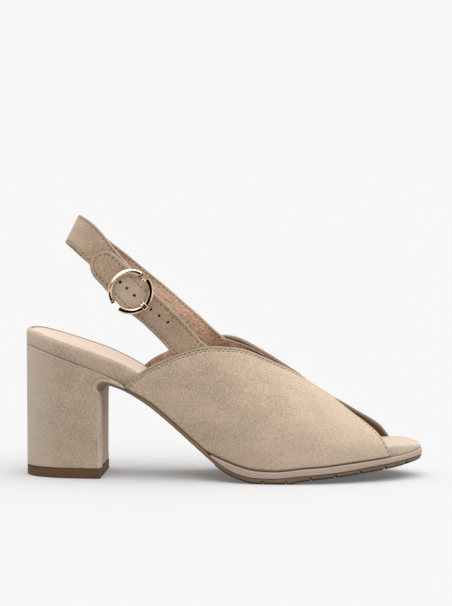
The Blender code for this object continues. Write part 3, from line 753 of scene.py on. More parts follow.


# Colours of each material: light, dark and, for suede, a warm tint; the suede's spans are painted light, a
# paler colour between two stations where more light falls
SUEDE_VAMP = suede("suede_vamp", (0.52, 0.405, 0.30), (0.285, 0.215, 0.155), (0.50, 0.36, 0.255),
                   painted_light_spans=[(0.0, 90.0, 0.3)])
SUEDE_STRAP = suede("suede_strap", (0.44, 0.32, 0.222), (0.232, 0.162, 0.109), (0.423, 0.289, 0.193),
                    painted_light_spans=[(-72.0, -90.0, 0.3)], painted_light_in_ring=RING_PAINTED_LIGHT)
SUEDE_HEEL = suede("suede_heel", (0.515, 0.40, 0.305), (0.28, 0.212, 0.16), (0.50, 0.36, 0.265),
                   TOE_BED_PAINTED_LIGHT, [(40.0, 90.0, 0.55), (-92.0, -108.0, 0.35)])
# Painted light: a lighter copy of the heel's suede for the breast, which stands in for light falling on it
SUEDE_BREAST_PAINTED_LIGHT = suede("suede_breast_painted_light", (0.72, 0.56, 0.43), (0.392, 0.297, 0.224), (0.70, 0.504, 0.37))
# Painted shade: a darker suede for the footbed's rim on the inner side, whose slope is in shadow
SUEDE_RIM_PAINTED_SHADE = suede("suede_rim_painted_shade", (0.33, 0.235, 0.165), (0.19, 0.135, 0.095), (0.31, 0.21, 0.145),
                  painted_light_spans=[(40.0, 90.0, 0.55)])
LINING = smooth_leather("lining_leather", (0.76, 0.50, 0.335), (0.31, 0.188, 0.122), 0.5, 560.0, 1.3)
# Painted shade: a darker copy of the lining for the inside of the upper towards the toe, which lies in the
# upper's shadow
TOE_LINING_PAINTED_SHADE = smooth_leather("toe_lining_painted_shade", (0.30, 0.185, 0.12), (0.19, 0.115, 0.072), 0.6, 620.0, 0.5)
SOCK = smooth_leather("sock_leather", (0.66, 0.52, 0.42), (0.54, 0.41, 0.32), 0.5, 1400.0, 0.08,
                      (0.25, 1.0, 1.0))
PLATFORM = smooth_leather("platform_leather", (0.45, 0.345, 0.275), (0.34, 0.255, 0.20), 0.5, 1100.0, 0.08,
                          (0.15, 0.3, 2.5))
OUTSOLE = rubber("outsole_rubber", (0.195, 0.128, 0.078), (0.11, 0.07, 0.042), 0.65, (0.264, 0.157, 0.08))
# Painted shade: near-black rubber for the tread's lower corners, which stands in for the contact shadow under
# the sole
OUTSOLE_CORNER_PAINTED_SHADE = rubber("outsole_corner_painted_shade", (0.045, 0.03, 0.02), (0.025, 0.016, 0.01), 0.75)
TOP_LIFT = rubber("top_lift_rubber", (0.125, 0.058, 0.020), (0.065, 0.030, 0.010), 0.65)
METAL = polished_metal("buckle_metal", (0.96, 0.76, 0.52), (0.90, 0.66, 0.44), 0.07)
THREAD = plain("thread", (0.19, 0.13, 0.085), (0.11, 0.075, 0.05), 0.8, 2600.0)
CUT_EDGE = plain("cut_edge", (0.43, 0.35, 0.265), (0.28, 0.225, 0.165), 0.85, 1500.0)
# Painted shade: a dark colour for the upper's outside along its foot, where it tucks under against the sole,
# standing in for the seam's shadow
FOOT_EDGE_PAINTED_SHADE = plain("foot_edge_painted_shade", (0.30, 0.22, 0.155), (0.17, 0.12, 0.082), 0.95, 1500.0)
VAMP_EDGE = plain("vamp_edge", (0.34, 0.255, 0.18), (0.22, 0.165, 0.115), 0.9, 1500.0)
# Painted shade: near black for the walls of the strap's holes and slot, which stands in for their dark inside
HOLE_PAINTED_SHADE = plain("hole_painted_shade", (0.075, 0.048, 0.03), (0.035, 0.022, 0.014), 0.9, 1500.0)


# Sole
FINE_STATIONS = 260
EDGE_STEPS = 5
SOLE_TOP_COLUMNS = 13
SOLE_LOW_COLUMNS = 5
SHADED_CORNER_COLUMNS = 3
PLATFORM_ROUNDING = (0.4, 0.6)

# Edge of the outsole from the ground up: inset, share of its thickness, height added
OUTSOLE_EDGE = (
    (2.4, 0.0, 0.0),
    (1.5, 0.0, 0.22),
    (0.9, 0.0, 0.65),
    (0.6, 0.0, 1.15),
    (0.35, 0.5, 0.4),
    (0.3, 0.92, 0.0),
    (0.55, 1.0, 0.0),
)

# Edge of the footbed, with a wrapped rim round the sock: inset, share of its thickness, height added
BED_EDGE = (
    (0.8, 0.0, 0.0),
    (0.3, 0.0, 0.15),
    (0.0, 0.0, 0.55),
    (0.0, 0.5, 0.0),
    (0.0, 1.0, -1.8),
    (0.2, 1.0, -0.9),
    (0.7, 1.0, -0.3),
    (1.3, 1.0, 0.0),
    (2.0, 1.0, 0.0),
    (2.7, 1.0, 0.0),
    (3.3, 1.0, 0.0),
    (4.4, 1.0, 0.0),
)
BED_SINK = 0.2
RIM_HEIGHT = 0.95
RIM_INSET = 1.9
RIM_BREADTH = 1.1
RIM_FADE = (30.0, 70.0)
SHADED_RIM_COLUMNS = 5

# Edge of the sock, pared thin where it meets the rim: inset, share of its thickness, height added
SOCK_EDGE = (
    (0.0, 0.0, -0.1),
    (0.0, 0.0, 0.1),
    (0.6, 0.35, 0.0),
    (1.6, 0.7, 0.0),
    (3.2, 0.95, 0.0),
    (5.0, 1.0, 0.0),
)
SOCK_INSET = 3.3


def round_rows(low_radius, high_radius, steps):
    """Edge of a layer from the bottom up, rounded below and above, in rows as in the tables of edges."""
    angles = np.linspace(0.0, 0.5 * math.pi, steps + 1)
    rows = []
    for angle in angles:
        rows.append((low_radius * (1.0 - math.sin(angle)), 0.0, low_radius * (1.0 - math.cos(angle))))
    for angle in angles:
        rows.append((high_radius * (1.0 - math.cos(angle)), 1.0, -high_radius * (1.0 - math.sin(angle))))
    return rows


def layer_loops(turns, edge_rows, under, top, inset=0.0, lift=0.0, dish=0.0):
    """Closed loops of a sole layer, one for each turn: outer edge upwards, top, inner edge, underside."""
    sides = {}
    for side in (-1, 1):
        points = []
        for edge_inset, share, added in edge_rows:
            x, y = outline_points(turns, side, inset + edge_inset)
            low = under(x) + lift
            points.append(np.stack((x, y, low + share * (top(x) - low) + added), axis=-1))
        sides[side] = points
    hollow = dish * np.sin(turns) ** 2
    loop = list(sides[-1])
    for share in inner_shares(SOLE_TOP_COLUMNS):
        middle = sides[-1][-1] * (1.0 - share) + sides[1][-1] * share
        middle[:, 2] -= hollow * (1.0 - (2.0 * share - 1.0) ** 2)
        loop.append(middle)
    loop += sides[1][::-1]
    for share in inner_shares(SOLE_LOW_COLUMNS):
        loop.append(sides[1][0] * (1.0 - share) + sides[-1][0] * share)
    return np.stack(loop, axis=1)


def fine_turns(x_start, x_end, extra=()):
    """Closely spaced turns from one station to another, with extra stations among them."""
    turns = np.linspace(turn_of(x_start), turn_of(x_end), FINE_STATIONS)
    return np.unique(np.concatenate((turns, turn_of(np.array(extra)))))


def tread_lift(stations):
    """How far the underside is raised by a groove, or by the thin waist."""
    lift = np.where(stations < TREAD_START_X, TREAD_STEP, 0.0)
    for groove in GROOVE_STATIONS:
        lift[np.abs(stations - groove) < GROOVE_HALF_WIDTH - 0.5 * GROOVE_FLANK] = GROOVE_DEPTH
    return lift


def groove_edges():
    """Stations on both flanks of each groove and of the step at the waist."""
    edges = [TREAD_START_X - GROOVE_FLANK, TREAD_START_X + GROOVE_FLANK]
    for groove in GROOVE_STATIONS:
        for side in (-1, 1):
            edges.append(groove + side * GROOVE_HALF_WIDTH)
            edges.append(groove + side * (GROOVE_HALF_WIDTH - GROOVE_FLANK))
    return edges


def bed_under(x):
    """Underside of the footbed, close above the heel's seat, the platform or the outsole."""
    seated = FEATHER(x) + LAYER_GAP
    return np.where(x < SEAT_ROWS[-1][0], np.maximum(SEAT(x), seated), seated) - BED_SINK


def sock_under(x):
    """Underside of the sock."""
    return BED_TOP(x) + GAP


def sock_top(x):
    """Top of the sock."""
    return sock_under(x) + SOCK_THICKNESS


def build_outsole():
    """Outsole with its grooves, with painted shade along the lower corners of the tread."""
    turns = fine_turns(OUTSOLE_REAR_X, HALF_LENGTH, groove_edges())
    stations = station_of(turns)
    loops = layer_loops(turns, OUTSOLE_EDGE, GROUND, WELT, lift=tread_lift(stations))
    slots = np.zeros((len(turns) - 1, loops.shape[1]), dtype=int)
    front = stations[:-1] > TREAD_START_X
    last = loops.shape[1] - SOLE_LOW_COLUMNS - 1
    slots[front, :SHADED_CORNER_COLUMNS] = 1
    slots[front, last - SHADED_CORNER_COLUMNS:last] = 1
    materials = [OUTSOLE, OUTSOLE_CORNER_PAINTED_SHADE]
    loft_piece("outsole_dressed", loops, materials, "outsole_rubber", slots, ["outsole"], (True, False))


def build_platform():
    """Platform on the outsole, thin at the waist."""
    turns = fine_turns(PLATFORM_REAR_X, HALF_LENGTH)
    edge = round_rows(*PLATFORM_ROUNDING, EDGE_STEPS)
    loops = layer_loops(turns, edge, lambda x: WELT(x) + LAYER_GAP, FEATHER)
    loft_piece("platform_dressed", loops, [PLATFORM], "platform_leather", nodes=["platform"],
               caps=(True, False))


def build_footbed():
    """Wrapped footbed with a rim round the sock, which fades towards the toe, and painted shade on the rim's
    inner side.
    """
    turns = fine_turns(-HALF_LENGTH, HALF_LENGTH)
    stations = station_of(turns)
    rim = RIM_HEIGHT * step_down(stations, *RIM_FADE)
    edge = []
    for inset, share, added in BED_EDGE:
        edge.append((inset, share, added + share * rim * bell(inset, RIM_INSET, RIM_BREADTH)))
    loops = layer_loops(turns, edge, bed_under, BED_TOP, BED_INSET(stations), dish=BED_DISH)
    # Painted shade: the darker suede on the rim's columns on the inner side of the shoe
    slots = [0] * loops.shape[1]
    inner_side = loops.shape[1] - SOLE_LOW_COLUMNS - len(BED_EDGE)
    slots[inner_side:inner_side + SHADED_RIM_COLUMNS] = [1] * SHADED_RIM_COLUMNS
    loft_piece("footbed_dressed", loops, [SUEDE_HEEL, SUEDE_RIM_PAINTED_SHADE], "suede", slots, ["footbed"])


def build_sock():
    """Lining leaf inside the footbed's rim."""
    turns = fine_turns(-HALF_LENGTH, SOCK_FRONT_X)
    inset = BED_INSET(station_of(turns)) + SOCK_INSET
    loops = layer_loops(turns, SOCK_EDGE, sock_under, sock_top, inset, dish=BED_DISH)
    loft_piece("sock_dressed", loops, [SOCK], "sock_leather", nodes=["sock"], caps=(False, True))


# Heel
HEEL_STATIONS = 90
HEEL_ROWS = 40
HEEL_VOXEL = 0.55
HEEL_SMOOTHING = 3
SMOOTHING_FACTOR = 0.5
CUTTER_MARGIN = 10.0
CUTTER_HALF_WIDTH = 60.0
SCOOP_STEPS = 14
SCOOP_EDGE_STEP = 0.1
CURL_REACH = 4.0
CURL_RISE = 0.5
CURL_WIDTH = 1.2
CREASE_DEPTH = 0.45
CREASE_BAND = (2.2, 0.6)
# Faces that take the breast's painted light: least share of the normal along the shoe, reach behind the
# breast
BREAST_FACING = 0.5
BREAST_REACH = 4.0
LIFT_STATIONS = 120
LIFT_EDGE_STEPS = 4
LIFT_ROUNDING = (0.6, 0.25)

# Rounding of the breast's upright edges: rounds of smoothing, and distances between which it fades
# below the scoop, above the top lift and away from the breast
BREAST_SMOOTHING = 40
BREAST_FADE_TOP = (-8.0, -2.0)
BREAST_FADE_FOOT = (0.5, 4.0)
BREAST_FADE_DEPTH = (2.5, 6.0)

# Upright folds of the breast's cover: distance from its outer edge at the foot and at the top,
# half width, rise
BREAST_FOLD_ROWS = (
    (2.6, 3.4, 0.9, -0.5),
    (5.4, 6.6, 1.5, 0.9),
    (15.0, 17.0, 1.4, -0.5),
    (27.0, 27.0, 5.0, 0.35),
)
BREAST_FOLD_DEPTH = (0.8, 2.0)
BREAST_FOLD_TOP = (0.85, 1.05)


def heel_width_share(share):
    """Width of the heel at a share of its height, as a share of its width at the seat."""
    return HEEL_BASE_SCALE + (1.0 - HEEL_BASE_SCALE) * share


def breast_outline():
    """Outline, in x and z, of what is cut from the heel block in front of its breast."""
    below = -CUTTER_MARGIN
    ahead = HEEL_LIP_END_X + CUTTER_MARGIN
    scoop_x = BREAST_X + SCOOP_CENTRE_AHEAD
    scoop_z = float(WELT(OUTSOLE_REAR_X)) + LAYER_GAP - SCOOP_RADIUS
    points = [(BREAST_X, below), (BREAST_X, scoop_z - SCOOP_TAPER)]
    for degrees in np.linspace(*SCOOP_ANGLES, SCOOP_STEPS + 1):
        angle = math.radians(degrees)
        points.append((scoop_x + SCOOP_RADIUS * math.cos(angle), scoop_z + SCOOP_RADIUS * math.sin(angle)))
    for x in (*LIP_STATIONS, ahead):
        points.append((x, float(WELT(x)) + LAYER_GAP))
    points.append((ahead, below))
    return points


def scoop_edge(edge):
    """Line where the scoop and the lip end at one side of the heel, closely stepped."""
    outline = np.array(breast_outline()[1:-2])
    run = run_along(outline)
    x, z = vectors_at(np.arange(0.0, run[-1], SCOOP_EDGE_STEP), run, outline).T
    share = (z - TOP_LIFT_HEIGHT) / (SEAT(x) - GAP - TOP_LIFT_HEIGHT)
    return np.stack((x, edge(turn_of(x)) * heel_width_share(share), z), axis=-1)


def curl_scoop(points):
    """Raise a soft rim round the scoop on both sides of the heel, with a crease behind it."""
    for edge in (OUTER_EDGE, INNER_EDGE):
        line = scoop_edge(edge)
        above = points > line.min(axis=0) - CURL_REACH
        below = points < line.max(axis=0) + CURL_REACH
        close = np.all(above & below, axis=1)
        away = nearest(points[close], line)
        rise = CURL_RISE * bell(away, 0.0, CURL_WIDTH) - CREASE_DEPTH * bell(away, *CREASE_BAND)
        points[close, 1] += math.copysign(1.0, line[0, 1]) * rise
    return points


def soften_breast(points, faces):
    """Round the breast's upright edges and fold its cover."""
    scoop_foot = float(WELT(OUTSOLE_REAR_X)) - 2.0 * SCOOP_RADIUS
    first, second = np.array([(face[i - 1], face[i]) for face in faces for i in range(len(face))]).T
    neighbours = np.bincount(first, minlength=len(points)).astype(float)[:, None]
    depth = np.abs(points[:, 0] - BREAST_X)
    clear = step_down(points[:, 2] - scoop_foot, *BREAST_FADE_TOP)
    clear *= 1.0 - step_down(points[:, 2] - TOP_LIFT_HEIGHT, *BREAST_FADE_FOOT)
    clear *= step_down(depth, *BREAST_FADE_DEPTH)
    for _ in range(BREAST_SMOOTHING):
        total = [np.bincount(first, points[second, i], len(points)) for i in range(3)]
        pull = np.stack(total, axis=-1) / neighbours - points
        points = points + SMOOTHING_FACTOR * clear[:, None] * pull
    share = (points[:, 2] - TOP_LIFT_HEIGHT) / (scoop_foot - TOP_LIFT_HEIGHT)
    front = step_down(np.abs(points[:, 0] - BREAST_X), *BREAST_FOLD_DEPTH)
    front *= step_down(share, *BREAST_FOLD_TOP)
    corner = OUTER_EDGE(turn_of(BREAST_X)) * heel_width_share(share)
    for foot, top, width, rise in BREAST_FOLD_ROWS:
        points[:, 0] += rise * front * bell(points[:, 1] - corner, foot + (top - foot) * share, width)
    return points


def heel_block():
    """Heel as a plain block that widens from its base to the seat."""
    turns = np.linspace(0.0, turn_of(HEEL_LIP_END_X), HEEL_STATIONS)
    shares = np.linspace(0.0, 1.0, HEEL_ROWS)
    halves = {}
    for side in (-1, 1):
        x, y = outline_points(turns, side, 0.0)
        low = np.stack((x, HEEL_BASE_SCALE * y, np.full_like(x, TOP_LIFT_HEIGHT)), axis=-1)
        high = np.stack((x, y, SEAT(x) - GAP), axis=-1)
        halves[side] = [low * (1.0 - share) + high * share for share in shares]
    loops = np.stack(halves[-1] + halves[1][::-1], axis=1)
    return linked_object("heel_block", loops.reshape(-1, 3), shell_faces(*loops.shape[:2], (False, True)))


def breast_cutter():
    """Block of what is cut away in front of the heel's breast."""
    outline = breast_outline()
    sides = [[(x, y, z) for x, z in outline] for y in (-CUTTER_HALF_WIDTH, CUTTER_HALF_WIDTH)]
    return linked_object("breast_block", *join_shells([np.array(sides)]))


def heel_skin():
    """Points and faces of the heel's cover, cut, softened and folded."""
    block = heel_block()
    cutter = breast_cutter()
    take_away(block, cutter)
    skin = block.modifiers.new("skin", "REMESH")
    skin.mode = "VOXEL"
    skin.voxel_size = HEEL_VOXEL * MILLIMETRE
    soft = block.modifiers.new("soft", "SMOOTH")
    soft.factor = SMOOTHING_FACTOR
    soft.iterations = HEEL_SMOOTHING
    mesh = evaluated_mesh(block)
    for item in (block, cutter):
        bpy.data.objects.remove(item)
    points = np.array([vertex.co for vertex in mesh.vertices]) / MILLIMETRE
    faces = [list(polygon.vertices) for polygon in mesh.polygons]
    return curl_scoop(soften_breast(points, faces)), faces


def build_heel():
    """Covered heel, with painted light on the breast: a lighter copy of its suede there."""
    points, faces = heel_skin()
    corners = points[np.array(faces)]
    facing = unit(np.cross(corners[:, 2] - corners[:, 0], corners[:, 3] - corners[:, 1]))[:, 0]
    front = corners[:, :, 0].mean(axis=1) > BREAST_X - BREAST_REACH
    # Painted light: the lighter suede goes on faces of the breast that face along the shoe
    breast_painted_light = front & (np.abs(facing) > BREAST_FACING)
    add_piece("heel_dressed", points, faces, [SUEDE_HEEL, SUEDE_BREAST_PAINTED_LIGHT], "suede", breast_painted_light, ["heel"])


def build_top_lift():
    """Wear layer under the heel."""
    turns = np.linspace(0.0, turn_of(BREAST_X), LIFT_STATIONS)
    edge = round_rows(*LIFT_ROUNDING, LIFT_EDGE_STEPS)
    loop = []
    for side, rows in ((-1, edge), (1, edge[::-1])):
        for inset, share, added in rows:
            x, y = outline_points(turns, side, inset)
            z = np.full_like(x, share * (TOP_LIFT_HEIGHT - GAP) + added)
            loop.append(np.stack((x, HEEL_BASE_SCALE * y, z), axis=-1))
    loft_piece("top_lift_dressed", np.stack(loop, axis=1), [TOP_LIFT], "top_lift_rubber",
               nodes=["top_lift"], caps=(False, True))


# Stitches
STITCH_PITCH = 2.6
STITCH_LENGTH = 1.95
STITCH_RADIUS = 0.2
STITCH_BOW = 0.12
STITCH_RINGS = 7
STITCH_SIDES = 6
STITCH_END = 0.06


def stitches_along(line, outward):
    """Rings of points of a row of stitches along a line, lying on the side of its outward directions."""
    run = run_along(line)
    starts = np.arange(0.5 * (STITCH_PITCH - STITCH_LENGTH), run[-1] - STITCH_LENGTH, STITCH_PITCH)
    share = np.linspace(0.0, 1.0, STITCH_RINGS)
    places = starts[:, None] + STITCH_LENGTH * share
    centre = vectors_at(places, run, line)
    away = unit(vectors_at(places, run, outward))
    forward = unit(np.gradient(centre, axis=1))
    beside = unit(np.cross(forward, away))
    arch = np.sin(math.pi * share)
    centre = centre + away * (STITCH_BOW * (2.0 * arch - 1.0))[None, :, None]
    radius = STITCH_RADIUS * np.sqrt(np.maximum(arch, STITCH_END))
    turn = round_turns(STITCH_SIDES)
    ring = np.cos(turn)[:, None] * beside[..., None, :] + np.sin(turn)[:, None] * away[..., None, :]
    return centre[:, :, None, :] + radius[None, :, None, None] * ring


def stitch_piece(name, rows):
    """One piece from many stitches."""
    add_piece(name, *join_shells(np.concatenate(rows)), [THREAD], "suede")


# Upper
UPPER_ROWS = 181
EDGE_STEP = 0.3
EDGE_COLUMNS = 15
MIDDLE_COLUMNS = 76
RIM_REACH = 0.55
RIM_STEPS = 5
EDGE_LINE_STEPS = 1801
FOLD_RISE = 0.3
FOLD_FADE = (0.9, 1.35)
THROAT_STITCH_INSETS = (1.45, 2.75)
TOE_STITCH_INSET = 1.6
LINING_STITCH_INSET = 1.8
STITCH_TROUGH = 0.28
STITCH_TROUGH_WIDTH = 0.42
FOOT_TUCK = 0.6
UPPER_SKIN, UPPER_LINING, UPPER_EDGE, UPPER_TOE_SHADE, UPPER_FOOT_SHADE = range(5)

# Soft creases of the upper: station and angle at both ends, bow of the middle in mm, half width, height
CREASE_ROWS = (
    (-30.0, 14.0, 4.0, 30.0, 3.0, 5.0, -0.45),
    (-24.0, 8.0, 14.0, 20.0, 2.0, 4.5, 0.35),
    (12.0, 52.0, 40.0, 30.0, -3.0, 6.0, -0.4),
    (30.0, 70.0, 62.0, 40.0, -4.0, 5.0, -0.35),
    (48.0, 66.0, 72.0, 34.0, 3.0, 4.0, 0.3),
    (20.0, 12.0, 60.0, 16.0, 4.0, 7.0, -0.35),
    (62.0, 10.0, 88.0, 24.0, 2.0, 5.0, 0.3),
    (-6.0, 40.0, 16.0, 46.0, 2.0, 4.0, 0.3),
    (12.0, 128.0, 40.0, 150.0, -3.0, 6.0, -0.4),
    (48.0, 114.0, 72.0, 146.0, 3.0, 4.0, 0.3),
    (20.0, 168.0, 60.0, 164.0, 4.0, 7.0, -0.35),
    (-30.0, 166.0, 4.0, 150.0, 3.0, 5.0, -0.45),
)
CREASE_STEPS = 40
CREASE_FADE_POWER = 0.7


def crease_relief(points):
    """Height of all creases at points of the upper."""
    height = np.zeros(points.shape[:-1])
    share = np.linspace(0.0, 1.0, CREASE_STEPS)
    fade = np.sin(math.pi * share) ** CREASE_FADE_POWER
    for start_x, start_angle, end_x, end_angle, bow, width, rise in CREASE_ROWS:
        x = start_x + (end_x - start_x) * share + bow * np.sin(math.pi * share)
        line = last_points(x, start_angle + (end_angle - start_angle) * share)
        at, away = nearest_places(points, line)
        height += rise * fade[at] * bell(away, 0.0, width)
    return height


def line_at(points, distance, target):
    """Line over a sheet where the distance from an edge first reaches a target, row by row."""
    line = []
    for row, steps in zip(points, distance):
        j = max(int(np.argmax(steps >= target)), 1)
        share = (target - steps[j - 1]) / (steps[j] - steps[j - 1])
        line.append(row[j - 1] * (1.0 - share) + row[j] * share)
    return np.array(line)


def rim_points(outer, inner, beside):
    """Round edge from the outer to the inner face of a sheet, bulging away from the points beside it."""
    middle = 0.5 * (outer + inner)
    away = unit(np.cross(outer - inner, np.gradient(outer, axis=0)))
    away[np.sum(away * (outer - beside), axis=-1) < 0.0] *= -1.0
    arcs = []
    for angle in math.pi * inner_shares(RIM_STEPS):
        arcs.append(middle + (outer - middle) * math.cos(angle) + away * RIM_REACH * math.sin(angle))
    return np.stack(arcs, axis=1)


def upper_stations(angles):
    """Stations over the upper, close together along its rear and front edges."""
    near = RIM_REACH + EDGE_STEP * np.arange(EDGE_COLUMNS)
    rear = REAR_EDGE(angles)[:, None] + near
    front = FRONT_EDGE(angles)[:, None] - near[::-1]
    shares = inner_shares(MIDDLE_COLUMNS)
    middle = rear[:, -1:] * (1.0 - shares) + front[:, :1] * shares
    return np.concatenate((rear, middle, front), axis=1)


def upper_relief(skin, from_rear, from_front):
    """Height of the turned edge, the stitch channels, the creases and the tuck at the feather edge."""
    relief = FOLD_RISE * step_down(from_rear, *FOLD_FADE)
    for inset in THROAT_STITCH_INSETS:
        relief -= STITCH_TROUGH * bell(from_rear, inset, STITCH_TROUGH_WIDTH)
    relief -= STITCH_TROUGH * bell(from_front, TOE_STITCH_INSET, STITCH_TROUGH_WIDTH)
    relief += crease_relief(skin)
    relief[[0, -1]] -= FOOT_TUCK
    return relief


def upper_faces(count, total):
    """Faces of the upper and their materials, from the columns of its outside and of its whole loop."""
    # Painted shade: the toe half of the inside columns takes the darker lining
    shaded_toe_columns = count // 2
    edge = [UPPER_EDGE] * (RIM_STEPS + 1)
    inside = [UPPER_TOE_SHADE] * shaded_toe_columns + [UPPER_LINING] * (count - 1 - shaded_toe_columns)
    rest = edge + inside + edge
    row_slots = [UPPER_SKIN] * (count - 1) + rest
    # Painted shade on the first and last rows, the upper's foot along the sole
    shaded_foot_slots = [UPPER_FOOT_SHADE] * (count - 1) + rest
    face_slots = shaded_foot_slots + row_slots * (UPPER_ROWS - 3) + shaded_foot_slots
    faces = shell_faces(UPPER_ROWS, total, (False, False))
    within = [count + RIM_STEPS + count - 1 - j for j in range(count)]
    last = (UPPER_ROWS - 1) * total
    for j in range(count - 1):
        faces.append([j + 1, j, within[j], within[j + 1]])
        faces.append([last + j, last + j + 1, last + within[j + 1], last + within[j]])
    front_cap = list(range(count - 1, count + RIM_STEPS + 1))
    rear_cap = list(range(within[0], total)) + [0]
    for cap in (front_cap, rear_cap):
        faces.append(cap[::-1])
        faces.append([last + index for index in cap])
    return faces, face_slots + [UPPER_EDGE] * (len(faces) - len(face_slots))


def sheet_stitches(sheet, outward, distance, inset):
    """Row of stitches over a sheet, at a distance from its edge."""
    return stitches_along(line_at(sheet, distance, inset), line_at(outward, distance, inset))


def build_upper():
    """Upper as one sheet with round edges, and the stitches along them."""
    angles = np.linspace(0.0, 180.0, UPPER_ROWS)
    skin, out = upper_sheet(upper_stations(angles), angles)
    fine = np.linspace(0.0, 180.0, EDGE_LINE_STEPS)
    from_rear = nearest(skin, last_points(REAR_EDGE(fine), fine))
    from_front = nearest(skin, last_points(FRONT_EDGE(fine), fine))
    outer = skin + upper_relief(skin, from_rear, from_front)[..., None] * out
    inner = skin - UPPER_WALL * out
    front_rim = rim_points(outer[:, -1], inner[:, -1], outer[:, -2])
    rear_rim = rim_points(outer[:, 0], inner[:, 0], outer[:, 1])[:, ::-1]
    loops = np.concatenate((outer, front_rim, inner[:, ::-1], rear_rim), axis=1)
    faces, face_slots = upper_faces(outer.shape[1], loops.shape[1])
    materials = [SUEDE_VAMP, LINING, VAMP_EDGE, TOE_LINING_PAINTED_SHADE, FOOT_EDGE_PAINTED_SHADE]
    add_piece("upper_dressed", loops.reshape(-1, 3), faces, materials, "suede", face_slots, ["upper"])
    rows = [sheet_stitches(outer, out, from_rear, inset) for inset in THROAT_STITCH_INSETS]
    rows.append(sheet_stitches(inner, -out, from_rear, LINING_STITCH_INSET))
    rows.append(sheet_stitches(outer[:, ::-1], out[:, ::-1], from_front[:, ::-1], TOE_STITCH_INSET))
    stitch_piece("upper_stitches", rows)


# Straps
STRAP_SURFACE = 0.5 * STRAP_THICKNESS
STRAP_STEP = 0.9
STRAP_TOP_COLUMNS = 49
STRAP_EDGE_RADIUS = 0.6
STRAP_EDGE_SHARE = 0.45
STRAP_EDGE_STEPS = 4
STRAP_STITCH_INSET = 2.0
LINED_STITCH_INSET = 1.1
HEEL_STITCH_INSET = 1.4
STRAP_TROUGH = 0.16
STRAP_TROUGH_WIDTH = 0.45
STRAP_CROWN = 0.2
STRAP_CROWN_REACH = 4.5
ROUTE_STEP = 0.1
TIP_STEPS = 26
TIP_STITCH_STEPS = 60
FOLD_STEPS = 16
FOLD_ARC = (-90.0, -270.0)
FOLD_ARC_STEPS = 24
SWELL_RISE = 0.7
SWELL_LENGTHS = (9.0, 22.0)
HOLE_SIDES = 32
HOLE_CUT_SPAN = (-1.05, 1.6)
STRAP_SKIN, STRAP_LINING, STRAP_EDGE, STRAP_HOLE_SHADE = range(4)

# Edges of the heel strap, which sags and is pulled at its back: distance along the route,
# upper edge, lower edge
HEEL_STRAP_ROWS = (
    (0.0, 8.6, -8.6),
    (28.0, 8.6, -8.4),
    (36.0, 9.0, -8.1),
    (46.0, 9.5, -8.2),
    (54.0, 9.2, -8.5),
    (60.0, 8.8, -9.2),
    (66.0, 8.3, -10.4),
    (74.0, 7.6, -11.4),
    (84.0, 7.2, -11.2),
    (94.0, 8.4, -10.0),
    (103.0, 9.1, -9.1),
    (116.0, 8.65, -8.6),
    (126.0, 8.65, -8.6),
    (140.0, 9.4, -8.2),
    (150.0, 9.8, -7.8),
    (162.0, 11.1, -6.6),
    (172.0, 11.9, -5.8),
)

# Holes of the buckle strap: along, across, radius where it opens, radius where it ends
HOLE_ROWS = (
    (7.6, -0.8, 0.85, 0.25),
    (2.8, -0.25, 0.85, 0.25),
    (-2.8, 0.0, 0.85, 0.25),
    (-8.9, 0.0, 1.55, 1.55),
    (-15.0, 0.6, 0.8, 0.2),
    (-21.1, 1.15, 0.8, 0.2),
    (-27.3, 1.8, 0.8, 0.2),
)
PRONG_SLOT_HALF_WIDTH = 1.1
PRONG_SLOT_SPAN = (-4.2, 3.4)
PRONG_SLOT_LIFTS = (-8.0, 1.8)


def make_route():
    """Frame along the strap's route, by distance from the buckle, with the distances of both ends."""
    distance = run_along(np.array([row[:3] for row in ROUTE_ROWS]))
    distance -= distance[BUCKLE_ROW]
    curves = [spline(distance, column(ROUTE_ROWS, i)) for i in range(3)]
    lean, cant = (smooth_curve(distance, column(ROUTE_ROWS, i)) for i in (3, 4))

    def place(along):
        return np.array([curve(along) for curve in curves])

    def at(along):
        forward = unit(place(along + ROUTE_STEP) - place(along - ROUTE_STEP))
        tilt = math.radians(lean(along))
        tip = math.radians(cant(along))
        across = np.array([math.cos(tip) * math.cos(tilt), math.sin(tip), math.cos(tip) * math.sin(tilt)])
        across = unit(across - np.dot(across, forward) * forward)
        return place(along), forward, across, np.cross(across, forward)

    return at, distance[0], distance[-1]


ROUTE_AT, ROUTE_START, ROUTE_END = make_route()


def route_path(rows):
    """Centres, width directions and outward directions of a strap from rows of along, lift and shift."""
    centre = []
    across = []
    for along, lift, shift in rows:
        middle, _, side, outward = ROUTE_AT(along)
        centre.append(middle + lift * outward + shift * side)
        across.append(side)
    centre = np.array(centre)
    across = np.array(across)
    forward = unit(np.gradient(centre, axis=0))
    across = unit(across - np.sum(across * forward, axis=-1, keepdims=True) * forward)
    return centre, across, np.cross(across, forward)


